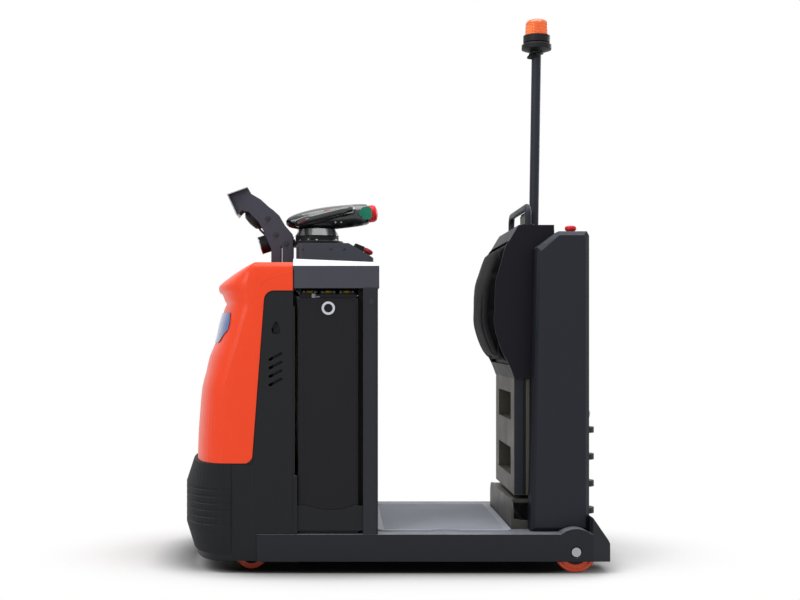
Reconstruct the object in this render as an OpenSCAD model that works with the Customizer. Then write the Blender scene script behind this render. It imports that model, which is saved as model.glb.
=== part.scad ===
// Stand-on electric tow tractor
// The drive end points to -X, the tow coupling to +X, and the driver's left is -Y.
// The origin is on the floor, midway between the bumper and the coupling.

/* [Overall] */
// Length from the bumper to the rear edge of the hood
nose_len = 374; // [366:1:384]
// Length of the battery bay
bay_len = 273; // [266:1:284]
// Length of the standing platform
platform_len = 443; // [425:1:470]
// Length from the kick plate to the tip of the tow coupling
tail_len = 330; // [326:1:336]
// Width over the side rails
overall_w = 800; // [790:2:820]
// Bend of the nose in plan, higher is squarer
nose_power = 2.7; // [2.4:0.1:3]

/* [Frame] */
// Height of the rails' lower edge
rail_bottom = 38; // [34:1:42]
// Height of the platform floor
floor_top = 125; // [122:1:130]
// Thickness of the rails' outer skin
rail_skin = 10; // [8:1:11]
// Width of each rail's top flange
rail_flange = 65; // [63:1:68]
// Thickness of floor and frame plates
plate_t = 8; // [6:0.5:9]
// Spacing of the two long beams under the floor
beam_gap = 500; // [470:5:520]
// Height of the arch cover over the floor
arch_rise = 18; // [17:1:21]
// Length of the tail blocks
tail_block_len = 54; // [50:1:58]
// Height of the tail blocks
tail_block_h = 140; // [120:1:150]
// Width of the tail blocks
tail_block_w = 150; // [130:1:160]

/* [Floor mat] */
// Thickness of the mat without its ribs
mat_t = 4; // [3:0.5:6]
// Height of the mat's ribs
mat_rib_h = 2; // [1:0.5:3]
// Number of ribs
mat_ribs = 33; // [20:1:40]
// Width of the finger notches
notch_w = 104; // [80:1:120]
// Depth of the finger notches
notch_d = 18; // [12:1:24]

/* [Nose] */
// Height of the joint between skirt and hood
skirt_top = 351; // [340:1:360]
// Clearance of the skirt over the floor
skirt_bottom = 40; // [36:1:50]
// Height of the hood over the skirt
hood_h = 649; // [640:1:660]
// Thickness of the body panels
skin_t = 6; // [4:0.5:7]
// Depth of the bumper at the middle of the nose
bumper_t = 39; // [30:1:42]
// Height of the bumper's lower edge
bumper_bottom = 62; // [55:1:70]
// Height of the bumper
bumper_h = 288; // [270:1:289]
// Number of ribs on the bumper
bumper_ribs = 6; // [4:1:8]
// Thickness of the nose lens
lens_t = 4; // [3:0.5:5]
// Drop from the hood's top to the head of its seam with the side panel
seam_drop = 93.6; // [93:0.1:94.5]
// Size of the teardrop opening
teardrop_d = 30; // [24:1:36]
// Length of the louvres
louvre_len = 49; // [40:1:54]
// Width of the louvres
louvre_w = 9; // [7:1:11]

/* [Battery bay] */
// Height of the battery case
battery_h = 758; // [745:1:768]
// Room between the battery and the rails' outer face, on each side
battery_side = 17; // [16:1:24]
// Outer diameter of the lifting rings
ring_d = 43; // [38:1:46]
// Hole of the lifting rings
ring_hole = 28; // [24:1:30]
// Height of the battery retaining plates
keeper_h = 80; // [70:1:90]
// Thickness of the battery retaining plates
keeper_t = 5; // [4:0.5:6]
// Width of the console posts along the truck
post_len = 48; // [44:1:52]
// Depth of the console posts across the truck
post_w = 55; // [50:1:60]
// Height of the console cover's lower edge
cover_bottom = 915; // [912:1:920]
// Height of the console cover
cover_h = 96; // [92:1:100]
// Bevel along the console cover
cover_bevel = 24; // [18:1:28]
// Fall of the cover towards the driver, in degrees
cover_fall = 2.4; // [1.5:0.1:3]

/* [Dashboard] */
// Width of the dashboard
dash_w = 380; // [340:2:400]
// Height of the dashboard over the console cover
dash_h = 64; // [58:1:68]
// Width of the display unit
display_w = 120; // [100:2:140]
// Height of the display unit
display_h = 42; // [36:1:46]
// Diameter of the dash stop button
dash_stop_d = 34; // [28:1:36]
// Stroke of both stop buttons
stop_stroke = 5; // [4:0.5:6]

/* [Steering] */
// Diameter of the steering base
steer_base_d = 185; // [170:1:190]
// Height of the steering base
steer_base_h = 35; // [30:1:38]
// Diameter of the steering neck
neck_d = 48; // [44:1:54]
// Length of the steering head
head_len = 289; // [280:1:295]
// Largest diameter of the head's body
head_d = 82; // [76:1:84]
// Tilt of the head, in degrees
head_tilt = 6; // [4:0.5:8]
// Width of the grip loops, to the tube's middle
grip_ring_d = 100; // [92:1:106]
// Straight run of the grip loops
grip_run = 91; // [84:1:94]
// Rise of the grip loops over the head's own tilt, in degrees
grip_tilt = 8; // [5:0.5:9]
// Tube diameter of the grips
grip_d = 26; // [22:1:28]
// Diameter of the belly button
belly_d = 60; // [54:1:62]
// Stroke of the belly button
belly_stroke = 8; // [6:0.5:9]
// Height of the throttle wings
wing_h = 44; // [38:1:46]
// Width of the throttle wings
wing_w = 36; // [32:1:38]

/* [Front guard] */
// Spacing of the guard's arms, outside
guard_w = 116; // [108:1:120]
// Thickness of the guard's plates
guard_t = 6; // [5:0.5:7]
// Reach of the guard in front of its foot
guard_reach = 223; // [215:1:226]
// Height of the guard over the hood
guard_h = 274; // [268:1:280]
// Diameter of the headlamp
headlamp_d = 62; // [56:1:66]
// Diameter of the round work lamp
lamp_d = 82; // [76:1:84]

/* [Backrest] */
// Distance from the column's side covers to the backrest, on each side
back_side = 22; // [18:1:30]
// Height of the backrest over the lower panel
back_h = 512; // [500:1:520]
// Depth of the backrest in front of the column
back_depth = 129; // [120:1:134]
// Crown of the cushion
crown = 28; // [22:1:30]
// Depth of the cushion's channels
channel_d = 7; // [5:0.5:8]
// Height of the lower panel's foot
panel_bottom = 231; // [227:1:236]
// Height of the lower panel
panel_h = 388; // [380:1:396]
// Depth of the lower panel
panel_depth = 62; // [58:1:66]
// Distance from the column's side covers to the lower panel, on each side
panel_side = 35; // [32:1:40]
// Width of the storage pockets
pocket_w = 310; // [280:2:330]
// Height of the storage pockets
pocket_h = 94; // [84:1:100]
// Overhang of the kick plate over the column's core, on each side
kick_side = 13; // [8:1:20]
// Height of the kick plate
kick_h = 92; // [86:1:95]

/* [Column] */
// Drop from the backrest's top to the column's top
column_drop = 28; // [22:1:34]
// Length of the column along the truck at its foot
column_len = 192; // [188:1:194]
// Distance from the rails' outer face to the column's side covers
column_side = 53; // [50:1:60]
// Thickness of each side cover
cover_w = 75; // [70:1:80]
// Bevel round the side covers
side_bevel = 14; // [10:1:16]
// Diameter of the column's stop button
column_stop_d = 38; // [32:1:42]

/* [Mast] */
// Diameter of the mast
mast_d = 33; // [30:1:36]
// Height of the mast's top over the backrest
mast_h = 624; // [600:1:640]
// Lean of the mast, in degrees
mast_lean = 0.9; // [0.5:0.1:1.5]
// Diameter of the beacon's flange
beacon_d = 104; // [98:1:108]
// Diameter of the beacon's lens
beacon_lens_d = 82; // [76:1:86]
// Height of the beacon with its flange
beacon_h = 120; // [110:1:125]
// Distance from the backrest's side to the grab bar's tube, on each side
grab_side = 50; // [40:1:60]
// Height of the grab bar
grab_h = 78; // [70:1:86]
// Tube diameter of the grab bar
grab_d = 22; // [20:1:25]

/* [Tow coupling] */
// Height of the lowest jaw
jaw_low = 150; // [145:1:160]
// Height from one jaw to the next
jaw_pitch = 94; // [90:1:96]
// Thickness of the jaws
jaw_t = 20; // [16:1:24]
// Width of the jaws
jaw_w = 80; // [70:1:88]
// Length of the jaws behind the column
jaw_len = 83; // [79:1:88]
// Diameter of the tow pin
tow_pin_d = 25; // [20:1:28]

/* [Drive] */
// Diameter of the drive wheel
drive_d = 230; // [220:1:236]
// Width of the drive wheel
drive_w = 80; // [70:1:84]
// Diameter of the slewing neck
slew_d = 200; // [190:1:210]
// Height of the drive unit's mounting plate
slew_z = 304; // [300:1:310]
// Diameter of the drive motor
motor_d = 170; // [150:1:176]
// Height of the drive motor
motor_h = 250; // [220:1:260]
// Distance from the bumper to the steering axis of the drive
drive_x = 205; // [200:1:212]

/* [Wheels] */
// Diameter of the casters
caster_d = 104; // [100:1:106]
// Width of the casters
caster_w = 30; // [26:1:32]
// Trail of the casters
caster_trail = 20; // [16:1:22]
// Distance from the rails' outer face to the caster swivels
caster_side = 98; // [96:1:102]
// Distance from the bumper to the caster swivels
caster_x = 215; // [212:1:220]
// Diameter of the rear wheels
rear_d = 136; // [130:1:138]
// Width of the rear wheels
rear_w = 44; // [38:1:45]
// Distance from the kick plate to the rear axle
axle_x = 193; // [190:1:195]
// Diameter of the rear axle
axle_d = 30; // [25:1:34]

/* [Hidden] */
$fn = 48;

// One length that all small fits and overruns follow
overall_len = nose_len + bay_len + platform_len + tail_len;
over = overall_len / 1420;
fit = over * 0.05;
gap = over * 0.4;
half_w = overall_w / 2;

// Widths that follow the truck's width
battery_w = overall_w - 2 * battery_side;
caster_gap = overall_w - 2 * caster_side;
core_w = overall_w - 2 * (column_side + cover_w);
back_w = core_w - 2 * back_side;
panel_w = core_w - 2 * panel_side;
kick_w = core_w + 2 * kick_side;
grab_w = back_w - 2 * grab_side;

// Stations along the truck
x_front = -overall_len / 2;
x_bay = x_front + nose_len;
x_step = x_bay + bay_len;
x_kick = x_step + platform_len;
x_rear = x_kick + tail_len;
x_steer = x_front + drive_x;
x_cast = x_front + caster_x;
x_axle = x_kick + axle_x;
x_column = x_rear - jaw_len;
x_core = x_column - column_len * 0.88;

// Heights
z_axle = rear_d / 2;
arch_r = floor_top + arch_rise - z_axle;
hood_top = skirt_top + hood_h;
cover_top = cover_bottom + cover_h;
panel_top = panel_bottom + panel_h;
back_top = panel_top + back_h;
column_top = back_top - column_drop;

// Nose shape: height, nose reach, root of the bend, width, each a share of the hood's own size
hood_shares = [
    [0, 0.896, 0.532, 1], [0.12, 0.89, 0.532, 1], [0.246, 0.874, 0.532, 1],
    [0.368, 0.853, 0.532, 1], [0.45, 0.816, 0.497, 1], [0.53, 0.785, 0.456, 1],
    [0.612, 0.722, 0.413, 1], [0.693, 0.692, 0.371, 1], [0.775, 0.651, 0.332, 1],
    [0.798, 0.632, 0.332, 1], [0.815, 0.65, 0.332, 1], [0.846, 0.67, 0.332, 1],
    [0.855, 0.69, 0.332, 1], [0.858, 0.696, 0.332, 1], [0.872, 0.706, 0.332, 1],
    [0.892, 0.7, 0.332, 1], [0.921, 0.636, 0.332, 1], [0.952, 0.552, 0.332, 0.998],
    [0.977, 0.465, 0.332, 0.992], [0.992, 0.398, 0.332, 0.97], [1, 0.342, 0.332, 0.93]];
nose_steps = 32;
row_steps = 2;
body_half = half_w - skin_t * 0.8;
nose_root = x_bay - nose_len * hood_shares[0][2];
nose_depth = nose_len * (hood_shares[0][1] - hood_shares[0][2]);
skirt_end = x_bay - nose_len * 0.35;
seam_h = hood_h - seam_drop;
seam_foot = skirt_end;
seam_head = x_bay - nose_len * 0.24;
seam_z = skirt_top + seam_h;
seam_bend = skin_t * 5;
hood_rows = smooth(hood_shares, row_steps);
row_last = len(hood_rows) - 1;

// Lens outline seen from the side: distance from the bay as a share of the nose, height as a
// share of the hood
lens_first = 5 * row_steps;
lens_last = 8 * row_steps;
lens_side = 4;
lens_shares = [[0.55, 0.75], [0.55, 0.705], [0.566, 0.665], [0.61, 0.64], [0.66, 0.6],
    [1, 0.6], [1, 0.75]];

// Backrest contour: height and depth shares
back_shares = [[0, 0.481], [0.08, 0.6], [0.199, 0.837], [0.348, 1], [0.461, 0.992],
    [0.623, 0.969], [0.703, 0.884], [0.859, 0.713], [0.902, 0.605], [0.96, 0.47], [1, 0.372]];
back_line = smooth(back_shares, 3);
back_x = x_core - back_depth;
pad_half = back_w / 2 - skin_t * 2;
pad_back = x_core - back_depth * 0.5;
pad_rows = 22;
pad_cols = 26;
pad_low = 0.09;
pad_high = 0.9;

// Guard arm outline: reach and height shares
guard_shares = [[0.336, 0], [0.336, 0.234], [0.444, 0.438], [0.534, 0.577], [0.686, 0.704],
    [0.794, 0.73], [0.865, 0.672], [1, 0.912], [0.695, 1], [0.65, 0.934], [0.498, 0.861],
    [0.372, 0.766], [0.3, 0.723], [0.21, 0.657], [0.12, 0.53], [0, 0.416], [0, 0]];

// Bolts on the guard's arms: reach and height shares
bolt_shares = [[0.39, 0.62], [0.26, 0.416], [0.1, 0.3]];

// Steering head outline: distance from the nose as a share of its length, diameter share
head_shares = [[0, 0.15], [0.03, 0.4], [0.1, 0.6], [0.2, 0.77], [0.38, 0.94], [0.6, 1],
    [0.85, 0.97], [0.97, 0.9], [1, 0.82]];

// Column side outline: length and height shares
column_shares = [[0, 0], [0.12, 0.946], [0.484, 1], [0.96, 1], [1, 0.985], [1, 0]];

// Helpers
function smooth(table, parts) = concat([for (k = [0:len(table) - 2], m = [0:parts - 1])
    spline(table[max(k - 1, 0)], table[k], table[k + 1], table[min(k + 2, len(table) - 1)],
        m / parts)], [table[len(table) - 1]]);
function spline(p, q, r, s, t) = 0.5 * (2 * q + (r - p) * t + (2 * p - 5 * q + 4 * r - s) * t * t
    + (3 * q - p - 3 * r + s) * t * t * t);
function bend(t, root, depth, half) = [root - depth * pow(max(cos(t), 0), 2 / nose_power),
    half * sign(sin(t)) * pow(abs(sin(t)), 2 / nose_power)];
function angle(k) = 180 * k / nose_steps - 90;
function nose(root, depth, half) = [for (k = [0:nose_steps]) bend(angle(k), root, depth, half)];
function reversed(list) = [for (k = [len(list) - 1:-1:0]) list[k]];
function row_z(j) = skirt_top + hood_h * hood_rows[j][0];
function row_root(j) = x_bay - nose_len * hood_rows[j][2];
function row_depth(j) = nose_len * (hood_rows[j][1] - hood_rows[j][2]);
function row_half(j) = body_half * hood_rows[j][3];
function seam_line(z) = seam_foot + (seam_head - seam_foot) * (z - skirt_top) / seam_h;
function seam_round(z) = z < seam_z - seam_bend ? 0
    : seam_bend - sqrt(max(pow(seam_bend, 2) - pow(z - seam_z + seam_bend, 2), 0));
function row_start(j) = row_z(j) > seam_z ? x_bay : seam_line(row_z(j)) + seam_round(row_z(j));
function row_drop(j, t) = t * max(hood_rows[j][0] - 0.921, 0) / 0.079;
function hood_row(j, t) = [for (p = concat([[row_start(j), -row_half(j) + t]],
    nose(row_root(j), row_depth(j) - t, row_half(j) - t), [[row_start(j), row_half(j) - t]]))
    [p[0], p[1], row_z(j) - row_drop(j, t)]];
function back_at(share) = x_core - back_depth * lookup(share, back_line);

module block(x, y, z) translate([x[0], y[0], z[0]])
    cube([x[1] - x[0], y[1] - y[0], z[1] - z[0]]);
module across(y, t) translate([0, y, 0]) rotate([90, 0, 0]) linear_extrude(t) children();
module rod_y(d, y0, y1) translate([0, y1, 0]) rotate([90, 0, 0]) cylinder(d = d, h = y1 - y0);
module both_sides() {
    children();
    mirror([0, 1, 0]) children();
}
module rounded(x, y, r) {
    translate([x[0] + r, y[0]]) square([x[1] - x[0] - 2 * r, y[1] - y[0]]);
    translate([x[0], y[0] + r]) square([x[1] - x[0], y[1] - y[0] - 2 * r]);
    for (px = [x[0] + r, x[1] - r], py = [y[0] + r, y[1] - r])
        translate([px, py]) circle(r = r);
}

// Skin between neighbouring closed outlines, with a flat face over the first and the last
module skin(loops) {
    n = len(loops);
    m = len(loops[0]);
    polyhedron([for (l = loops, p = l) p], concat([[for (j = [m - 1:-1:0]) j]],
        [for (i = [0:n - 2], j = [0:m - 1]) [i * m + j, i * m + (j + 1) % m,
            (i + 1) * m + (j + 1) % m]],
        [for (i = [0:n - 2], j = [0:m - 1]) [i * m + j, (i + 1) * m + (j + 1) % m,
            (i + 1) * m + j]],
        [[for (j = [0:m - 1]) (n - 1) * m + j]]));
}

// Rails with the arch covers
module rail() {
    difference() {
        union() {
            block([x_front + nose_len * 0.69, x_column], [-half_w, rail_skin - half_w],
                [rail_bottom, floor_top]);
            block([x_cast + caster_d * 0.77, x_column], [-half_w, rail_flange - half_w],
                [floor_top - plate_t, floor_top]);
            block([x_cast + caster_d * 0.77, x_axle - arch_r], [-half_w, rail_flange - half_w],
                [rail_bottom, rail_bottom + plate_t]);
            intersection() {
                translate([x_axle, 0, z_axle]) rod_y(2 * arch_r, -half_w, rail_flange - half_w);
                block([x_axle - arch_r, x_column], [-half_w, 0],
                    [floor_top - plate_t, floor_top + 2 * arch_rise]);
            }
        }
        translate([x_axle, 0, z_axle]) {
            rod_y(2 * (arch_r - plate_t / 2), rail_skin - half_w, 0);
            rod_y(axle_d * 1.25, -half_w - over, 0);
        }
    }
}
module left_rail() color("#26272b") rail();
module right_rail() color("#26272b") mirror([0, 1, 0]) rail();

module tail_block() {
    difference() {
        across(tail_block_w - half_w, tail_block_w) polygon([
            [x_column, rail_bottom],
            [x_column, rail_bottom + tail_block_h],
            [x_column + tail_block_len * 0.89, rail_bottom + tail_block_h * 0.5],
            [x_column + tail_block_len, rail_bottom + tail_block_h * 0.41],
            [x_column + tail_block_len, rail_bottom]]);
        translate([x_axle, 0, z_axle]) rod_y(rear_d + plate_t, rail_skin - half_w,
            rail_flange - half_w);
    }
}
module tail_blocks() color("#2a2b2f") both_sides() tail_block();

// Long and cross beams under the floor
module under_beams() color("#1d1e21") {
    z = [rail_bottom + plate_t, floor_top - plate_t];
    difference() {
        union() {
            both_sides() block([x_bay, x_column], [-beam_gap / 2 - plate_t, -beam_gap / 2], z);
            for (x = [x_bay, x_step, x_kick, x_column - plate_t])
                block([x, x + plate_t], [-beam_gap / 2, beam_gap / 2], z);
        }
        translate([x_axle, 0, z_axle]) rod_y(axle_d, -half_w, half_w);
    }
}

module platform_floor() color("#2b2c30") {
    y = half_w - rail_flange;
    block([x_bay, x_column], [-y, y], [floor_top - plate_t, floor_top]);
}

module floor_mat() color("#4b4d50") {
    y = half_w - rail_flange - plate_t / 2;
    x = [x_step, x_kick - mat_t];
    r = plate_t * 3;
    pitch = 2 * (y - r) / mat_ribs;
    notch_r = (pow(notch_w / 2, 2) + pow(notch_d, 2)) / (2 * notch_d);
    translate([0, 0, floor_top]) difference() {
        union() {
            linear_extrude(mat_t) rounded(x, [-y, y], r);
            for (k = [0:mat_ribs - 1])
                block([x[0] + r, x[1] - r], [k * pitch - y + r, (k + 0.5) * pitch - y + r],
                    [mat_t - over, mat_t + mat_rib_h]);
        }
        for (side = [-1, 1]) translate([(x[0] + x[1]) / 2, side * (y - notch_d + notch_r), -over])
            cylinder(r = notch_r, h = mat_t + mat_rib_h + 2 * over);
    }
}

// Frame inside the nose: bulkhead, side plates, caster shelves, drive plate, keeper guides
module drive_frame() color("#1b1c1f") {
    y = body_half - skin_t;
    inner = half_w - rail_flange;
    shelf_z = caster_d + plate_t * 2.5;
    difference() {
        union() {
            block([x_bay - plate_t, x_bay], [-y, y], [floor_top, cover_bottom - plate_t * 1.2]);
            block([x_bay - plate_t, x_bay], [-inner, inner], [rail_bottom + plate_t, floor_top]);
            block([x_steer - slew_d * 0.66, x_bay - plate_t], [-slew_d * 0.7, slew_d * 0.7],
                [slew_z - plate_t * 1.5, slew_z]);
            both_sides() {
                block([skirt_end, x_bay - plate_t], [-y, plate_t - y], [floor_top, skirt_top]);
                block([x_cast - caster_d / 2, x_cast + caster_d * 0.77], [plate_t - y,
                    -caster_gap / 2 + caster_d], [shelf_z, shelf_z + plate_t * 1.5]);
                block([x_cast, x_bay - plate_t], [gap - inner, -caster_gap / 2 + caster_d],
                    [shelf_z, shelf_z + plate_t * 1.5]);
                translate([x_cast, -caster_gap / 2, shelf_z])
                    cylinder(d = caster_d * 0.5, h = caster_d * 0.3);
                difference() {
                    block([x_bay, x_bay + plate_t * 1.7], [-y - plate_t, plate_t * 1.5 - y],
                        [floor_top, floor_top + keeper_h * 2.35]);
                    block([x_bay + plate_t * 0.7, x_bay + plate_t * 2],
                        [-keeper_y() - keeper_t - gap, -keeper_y() + gap],
                        [keeper_low(), floor_top + keeper_h * 2.4]);
                }
            }
        }
        translate([x_steer, 0, slew_z - plate_t * 2]) cylinder(d = slew_d + 2 * fit,
            h = plate_t * 3);
        for (side = [-1, 1]) translate([x_cast, side * caster_gap / 2, 0])
            cylinder(d = caster_w * 0.7 + 2 * fit, h = slew_z);
    }
}
function keeper_y() = battery_w / 2 + gap * 5;
function keeper_low() = floor_top + plate_t * 1.4;

module front_skirt() color("#232428") {
    translate([0, 0, skirt_bottom]) linear_extrude(skirt_top - skirt_bottom) polygon(concat(
        [[skirt_end, -body_half]], nose(nose_root, nose_depth, body_half),
        [[skirt_end, body_half], [skirt_end, body_half - skin_t]],
        reversed(nose(nose_root, nose_depth - skin_t, body_half - skin_t)),
        [[skirt_end, skin_t - body_half]]));
}

// Ribbed rubber wrapped round the nose
module front_bumper() color("#151619") {
    low = 0.27;
    rib = (1 - 2 * low) / bumper_ribs;
    outline = concat([[0, 0], [0.33, 0]],
        [for (k = [0:bumper_ribs - 1], p = [[1, 0], [1, 0.6], [0.86, 0.7], [0.86, 0.9]])
            [p[0], low + (k + p[1]) * rib]],
        [[1, 1 - low], [0.33, 1], [0, 1]]);
    skin([for (k = [0:nose_steps]) [for (p = outline) let (q = bend(angle(k), nose_root,
        nose_depth + bumper_t * p[0], body_half + skin_t * 0.7 * p[0]))
        [q[0], q[1], bumper_bottom + bumper_h * p[1]]]]);
}

module hood() color("#ef502a") {
    n = row_last + 1;
    m = nose_steps + 3;
    c = n * m;
    points = concat([for (j = [0:row_last], p = hood_row(j, 0)) p],
        [for (j = [0:row_last], p = hood_row(j, skin_t)) p]);
    polyhedron(points, concat(
        [for (j = [0:n - 2], i = [0:m - 2]) [j * m + i, (j + 1) * m + i + 1, j * m + i + 1]],
        [for (j = [0:n - 2], i = [0:m - 2]) [j * m + i, (j + 1) * m + i, (j + 1) * m + i + 1]],
        [for (j = [0:n - 2], i = [0:m - 2]) [c + j * m + i, c + j * m + i + 1,
            c + (j + 1) * m + i + 1]],
        [for (j = [0:n - 2], i = [0:m - 2]) [c + j * m + i, c + (j + 1) * m + i + 1,
            c + (j + 1) * m + i]],
        [for (i = [0:m - 2]) [i, i + 1, c + i + 1]],
        [for (i = [0:m - 2]) [i, c + i + 1, c + i]],
        [for (j = [0:n - 2]) [j * m, c + (j + 1) * m, (j + 1) * m]],
        [for (j = [0:n - 2]) [j * m, c + j * m, c + (j + 1) * m]],
        [for (j = [0:n - 2]) [(j + 1) * m - 1, (j + 2) * m - 1, c + (j + 2) * m - 1]],
        [for (j = [0:n - 2]) [(j + 1) * m - 1, c + (j + 2) * m - 1, c + (j + 1) * m - 1]],
        [[for (i = [m - 1:-1:0]) (n - 1) * m + i]],
        [[for (i = [0:m - 1]) c + (n - 1) * m + i]],
        [[n * m - 1, (n - 1) * m, c + (n - 1) * m, c + n * m - 1]]));
}

// Wide lens under the hood's visor
module nose_lens() color("#3c64a0") {
    intersection() {
        skin([for (j = [lens_first:lens_last]) concat(
            [for (k = [nose_steps - lens_side:-1:lens_side]) lens_point(k, j, lens_t)],
            [for (k = [lens_side:nose_steps - lens_side]) lens_point(k, j, 0)])]);
        across(half_w, overall_w) polygon([for (p = lens_shares)
            [x_bay - nose_len * p[0], skirt_top + hood_h * p[1]]]);
    }
}
function lens_point(k, j, t) = let (p = bend(angle(k), row_root(j), row_depth(j) + t,
    row_half(j) + t * 0.6)) [p[0], p[1], row_z(j)];

module side_panel() {
    rows = [for (j = [0:row_last]) if (row_z(j) <= seam_z) j];
    top = row_z(len(rows));
    difference() {
        across(skin_t - body_half, skin_t) polygon(concat(
            [for (j = rows) [row_start(j), row_z(j)]],
            [[x_bay, top], [x_bay, floor_top], [x_front + nose_len * 0.69, floor_top],
            [x_front + nose_len * 0.69, skirt_bottom], [skirt_end, skirt_bottom]]));
        across(0, half_w) {
            translate([x_bay - nose_len * 0.145, skirt_top + hood_h * 0.663]) {
                circle(d = teardrop_d);
                translate([0, teardrop_d * 0.7]) circle(d = teardrop_d * 0.44);
                polygon([for (p = [[-0.46, 0.1], [0.46, 0.1], [0.19, 0.76], [-0.19, 0.76]])
                    teardrop_d * p]);
            }
            for (k = [0:3]) translate([x_bay - nose_len * 0.15,
                skirt_top + hood_h * (0.531 - 0.042 * k)]) rotate(28)
                rounded([-louvre_len / 2, louvre_len / 2], [-louvre_w / 2, louvre_w / 2],
                    louvre_w * 0.3);
        }
    }
}
module left_side_panel() color("#2a2b30") side_panel();
module right_side_panel() color("#2a2b30") mirror([0, 1, 0]) side_panel();

// Battery bay
function battery_x() = [x_bay + plate_t * 2, x_step - post_len * 1.33];
module battery_case() color("#17181a")
    block(battery_x(), [-battery_w / 2, battery_w / 2], [floor_top, floor_top + battery_h]);

module battery_rings() color("#5a5c60") both_sides()
    translate([x_bay + bay_len * 0.415, 0, floor_top + battery_h * 0.958]) difference() {
        rod_y(ring_d, -battery_w / 2 - plate_t, -battery_w / 2);
        rod_y(ring_hole, -battery_w / 2 - 2 * plate_t, 0);
    }

module keeper() {
    x = [x_bay + plate_t * 0.7 + gap, x_step - post_len + plate_t * 0.8];
    mid = (x[0] + x[1]) / 2;
    arc = bay_len * 0.76;
    across(-keeper_y(), keeper_t) difference() {
        translate([x[0], keeper_low()]) square([x[1] - x[0], keeper_h]);
        translate([mid, keeper_low() + keeper_h + arc * 0.925]) circle(r = arc);
    }
}
module left_keeper() color("#3a3b3f") keeper();
module right_keeper() color("#3a3b3f") mirror([0, 1, 0]) keeper();

module post() {
    outer = half_w - gap * 5;
    difference() {
        translate([0, 0, floor_top]) linear_extrude(cover_bottom - floor_top) {
            translate([x_step - post_len, -outer]) square([post_len * 0.75, post_w]);
            translate([x_step - post_len, post_len * 0.25 - outer])
                square([post_len, post_w - post_len * 0.25]);
            translate([x_step - post_len * 0.25, post_len * 0.25 - outer])
                circle(r = post_len * 0.25);
        }
        block([x_step - post_len - over, x_step - post_len + plate_t],
            [-keeper_y() - keeper_t - gap, -keeper_y() + gap],
            [keeper_low(), floor_top + keeper_h * 2.4]);
    }
}
module console_posts() color("#2b2c30") both_sides() post();

module bay_wall() color("#222327") {
    y = half_w - gap * 5 - post_w;
    block([x_step - plate_t * 1.5, x_step - plate_t / 2], [-y, y], [floor_top, cover_bottom]);
}

// Console cover with a bevel along both sides, falling towards the driver
module console_cover() color("#6d6e70") {
    fall = (bay_len + over * 4) * tan(cover_fall);
    x = [x_bay, x_step + over * 4];
    y = half_w - gap * 12;
    difference() {
        intersection() {
            across(y, 2 * y) polygon([[x[0], cover_bottom], [x[0], cover_top],
                [x[1] - cover_bevel * 0.6, cover_top - fall],
                [x[1] - cover_bevel * 0.2, cover_top - fall - cover_bevel * 0.15],
                [x[1], cover_top - fall - cover_bevel * 0.5], [x[1], cover_bottom]]);
            translate([x[0] - over, 0, 0]) rotate([90, 0, 90])
                linear_extrude(x[1] - x[0] + 2 * over) polygon([
                    [-y, cover_bottom], [-y, cover_top - cover_bevel],
                    [cover_bevel - y, cover_top], [y - cover_bevel, cover_top],
                    [y, cover_top - cover_bevel], [y, cover_bottom]]);
        }
        block([x[0] + skin_t, x[1] - skin_t], [skin_t - y, y - skin_t],
            [cover_bottom - over, cover_top - fall - cover_bevel]);
        block([x[0] + skin_t, x[1] - cover_bevel], [cover_bevel + skin_t - y,
            y - skin_t - cover_bevel], [cover_bottom - over, cover_top - fall - skin_t]);
    }
}
function cover_z(x) = cover_top - (x - x_bay) * tan(cover_fall);

// Dashboard over the console cover, its rear face sloping to the driver
function dash_a() = [x_bay + bay_len * 0.66, cover_top + dash_h];
function dash_b() = [x_step - bay_len * 0.03, cover_top + dash_h * 0.22];
function dash_slope() = atan2(dash_a()[1] - dash_b()[1], dash_b()[0] - dash_a()[0]);
module on_dash(share) translate([dash_a()[0] + (dash_b()[0] - dash_a()[0]) * share, 0,
    dash_a()[1] + (dash_b()[1] - dash_a()[1]) * share]) rotate([0, dash_slope(), 0]) children();
module dash_panel() color("#2a2b2f") {
    x = [x_bay + bay_len * 0.01, dash_b()[0]];
    difference() {
        intersection() {
            across(dash_w / 2, dash_w) polygon([[x[0], cover_z(x[0])], [x[0], cover_top + dash_h
                - plate_t], [x[0] + plate_t, cover_top + dash_h], dash_a(), dash_b(),
                [x[1], cover_z(x[1])]]);
            linear_extrude(hood_top + guard_h) rounded(x, [-dash_w / 2, dash_w / 2], plate_t * 3);
        }
        across(dash_w / 2 - skin_t, dash_w - 2 * skin_t) polygon([
            [x[0] + skin_t, cover_z(x[0]) - plate_t],
            [x[0] + skin_t, cover_top + dash_h - skin_t - plate_t],
            [dash_a()[0] - skin_t, dash_a()[1] - skin_t - plate_t],
            [x[1] - skin_t * 2, cover_z(x[1]) + skin_t / 2],
            [x[1] - skin_t * 2, cover_z(x[1]) - plate_t]]);
        on_dash(0.72) {
            translate([0, -dash_w * 0.3, -dash_h]) cylinder(d = dash_stop_d * 0.5 + 2 * fit,
                h = dash_h * 2);
            translate([0, dash_w * 0.3, -dash_h]) cylinder(d = dash_stop_d * 0.4 + 2 * fit,
                h = dash_h * 2);
        }
    }
}

module display_unit() color("#17181b") on_dash(0.38) difference() {
    translate([0, display_w / 2, 0]) rotate([90, 0, 0]) linear_extrude(display_w) polygon([
        [-display_h * 0.55, 0], [-display_h * 0.45, display_h * 0.5],
        [display_h * 0.35, display_h * 0.62], [display_h * 0.55, 0]]);
    translate([-display_h * 0.05, 0, display_h * 0.56]) rotate([0, -8, 0])
        block([-display_h * 0.32, display_h * 0.32], [-display_w * 0.42, display_w * 0.42],
            [-display_h * 0.04, display_h]);
}

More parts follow.
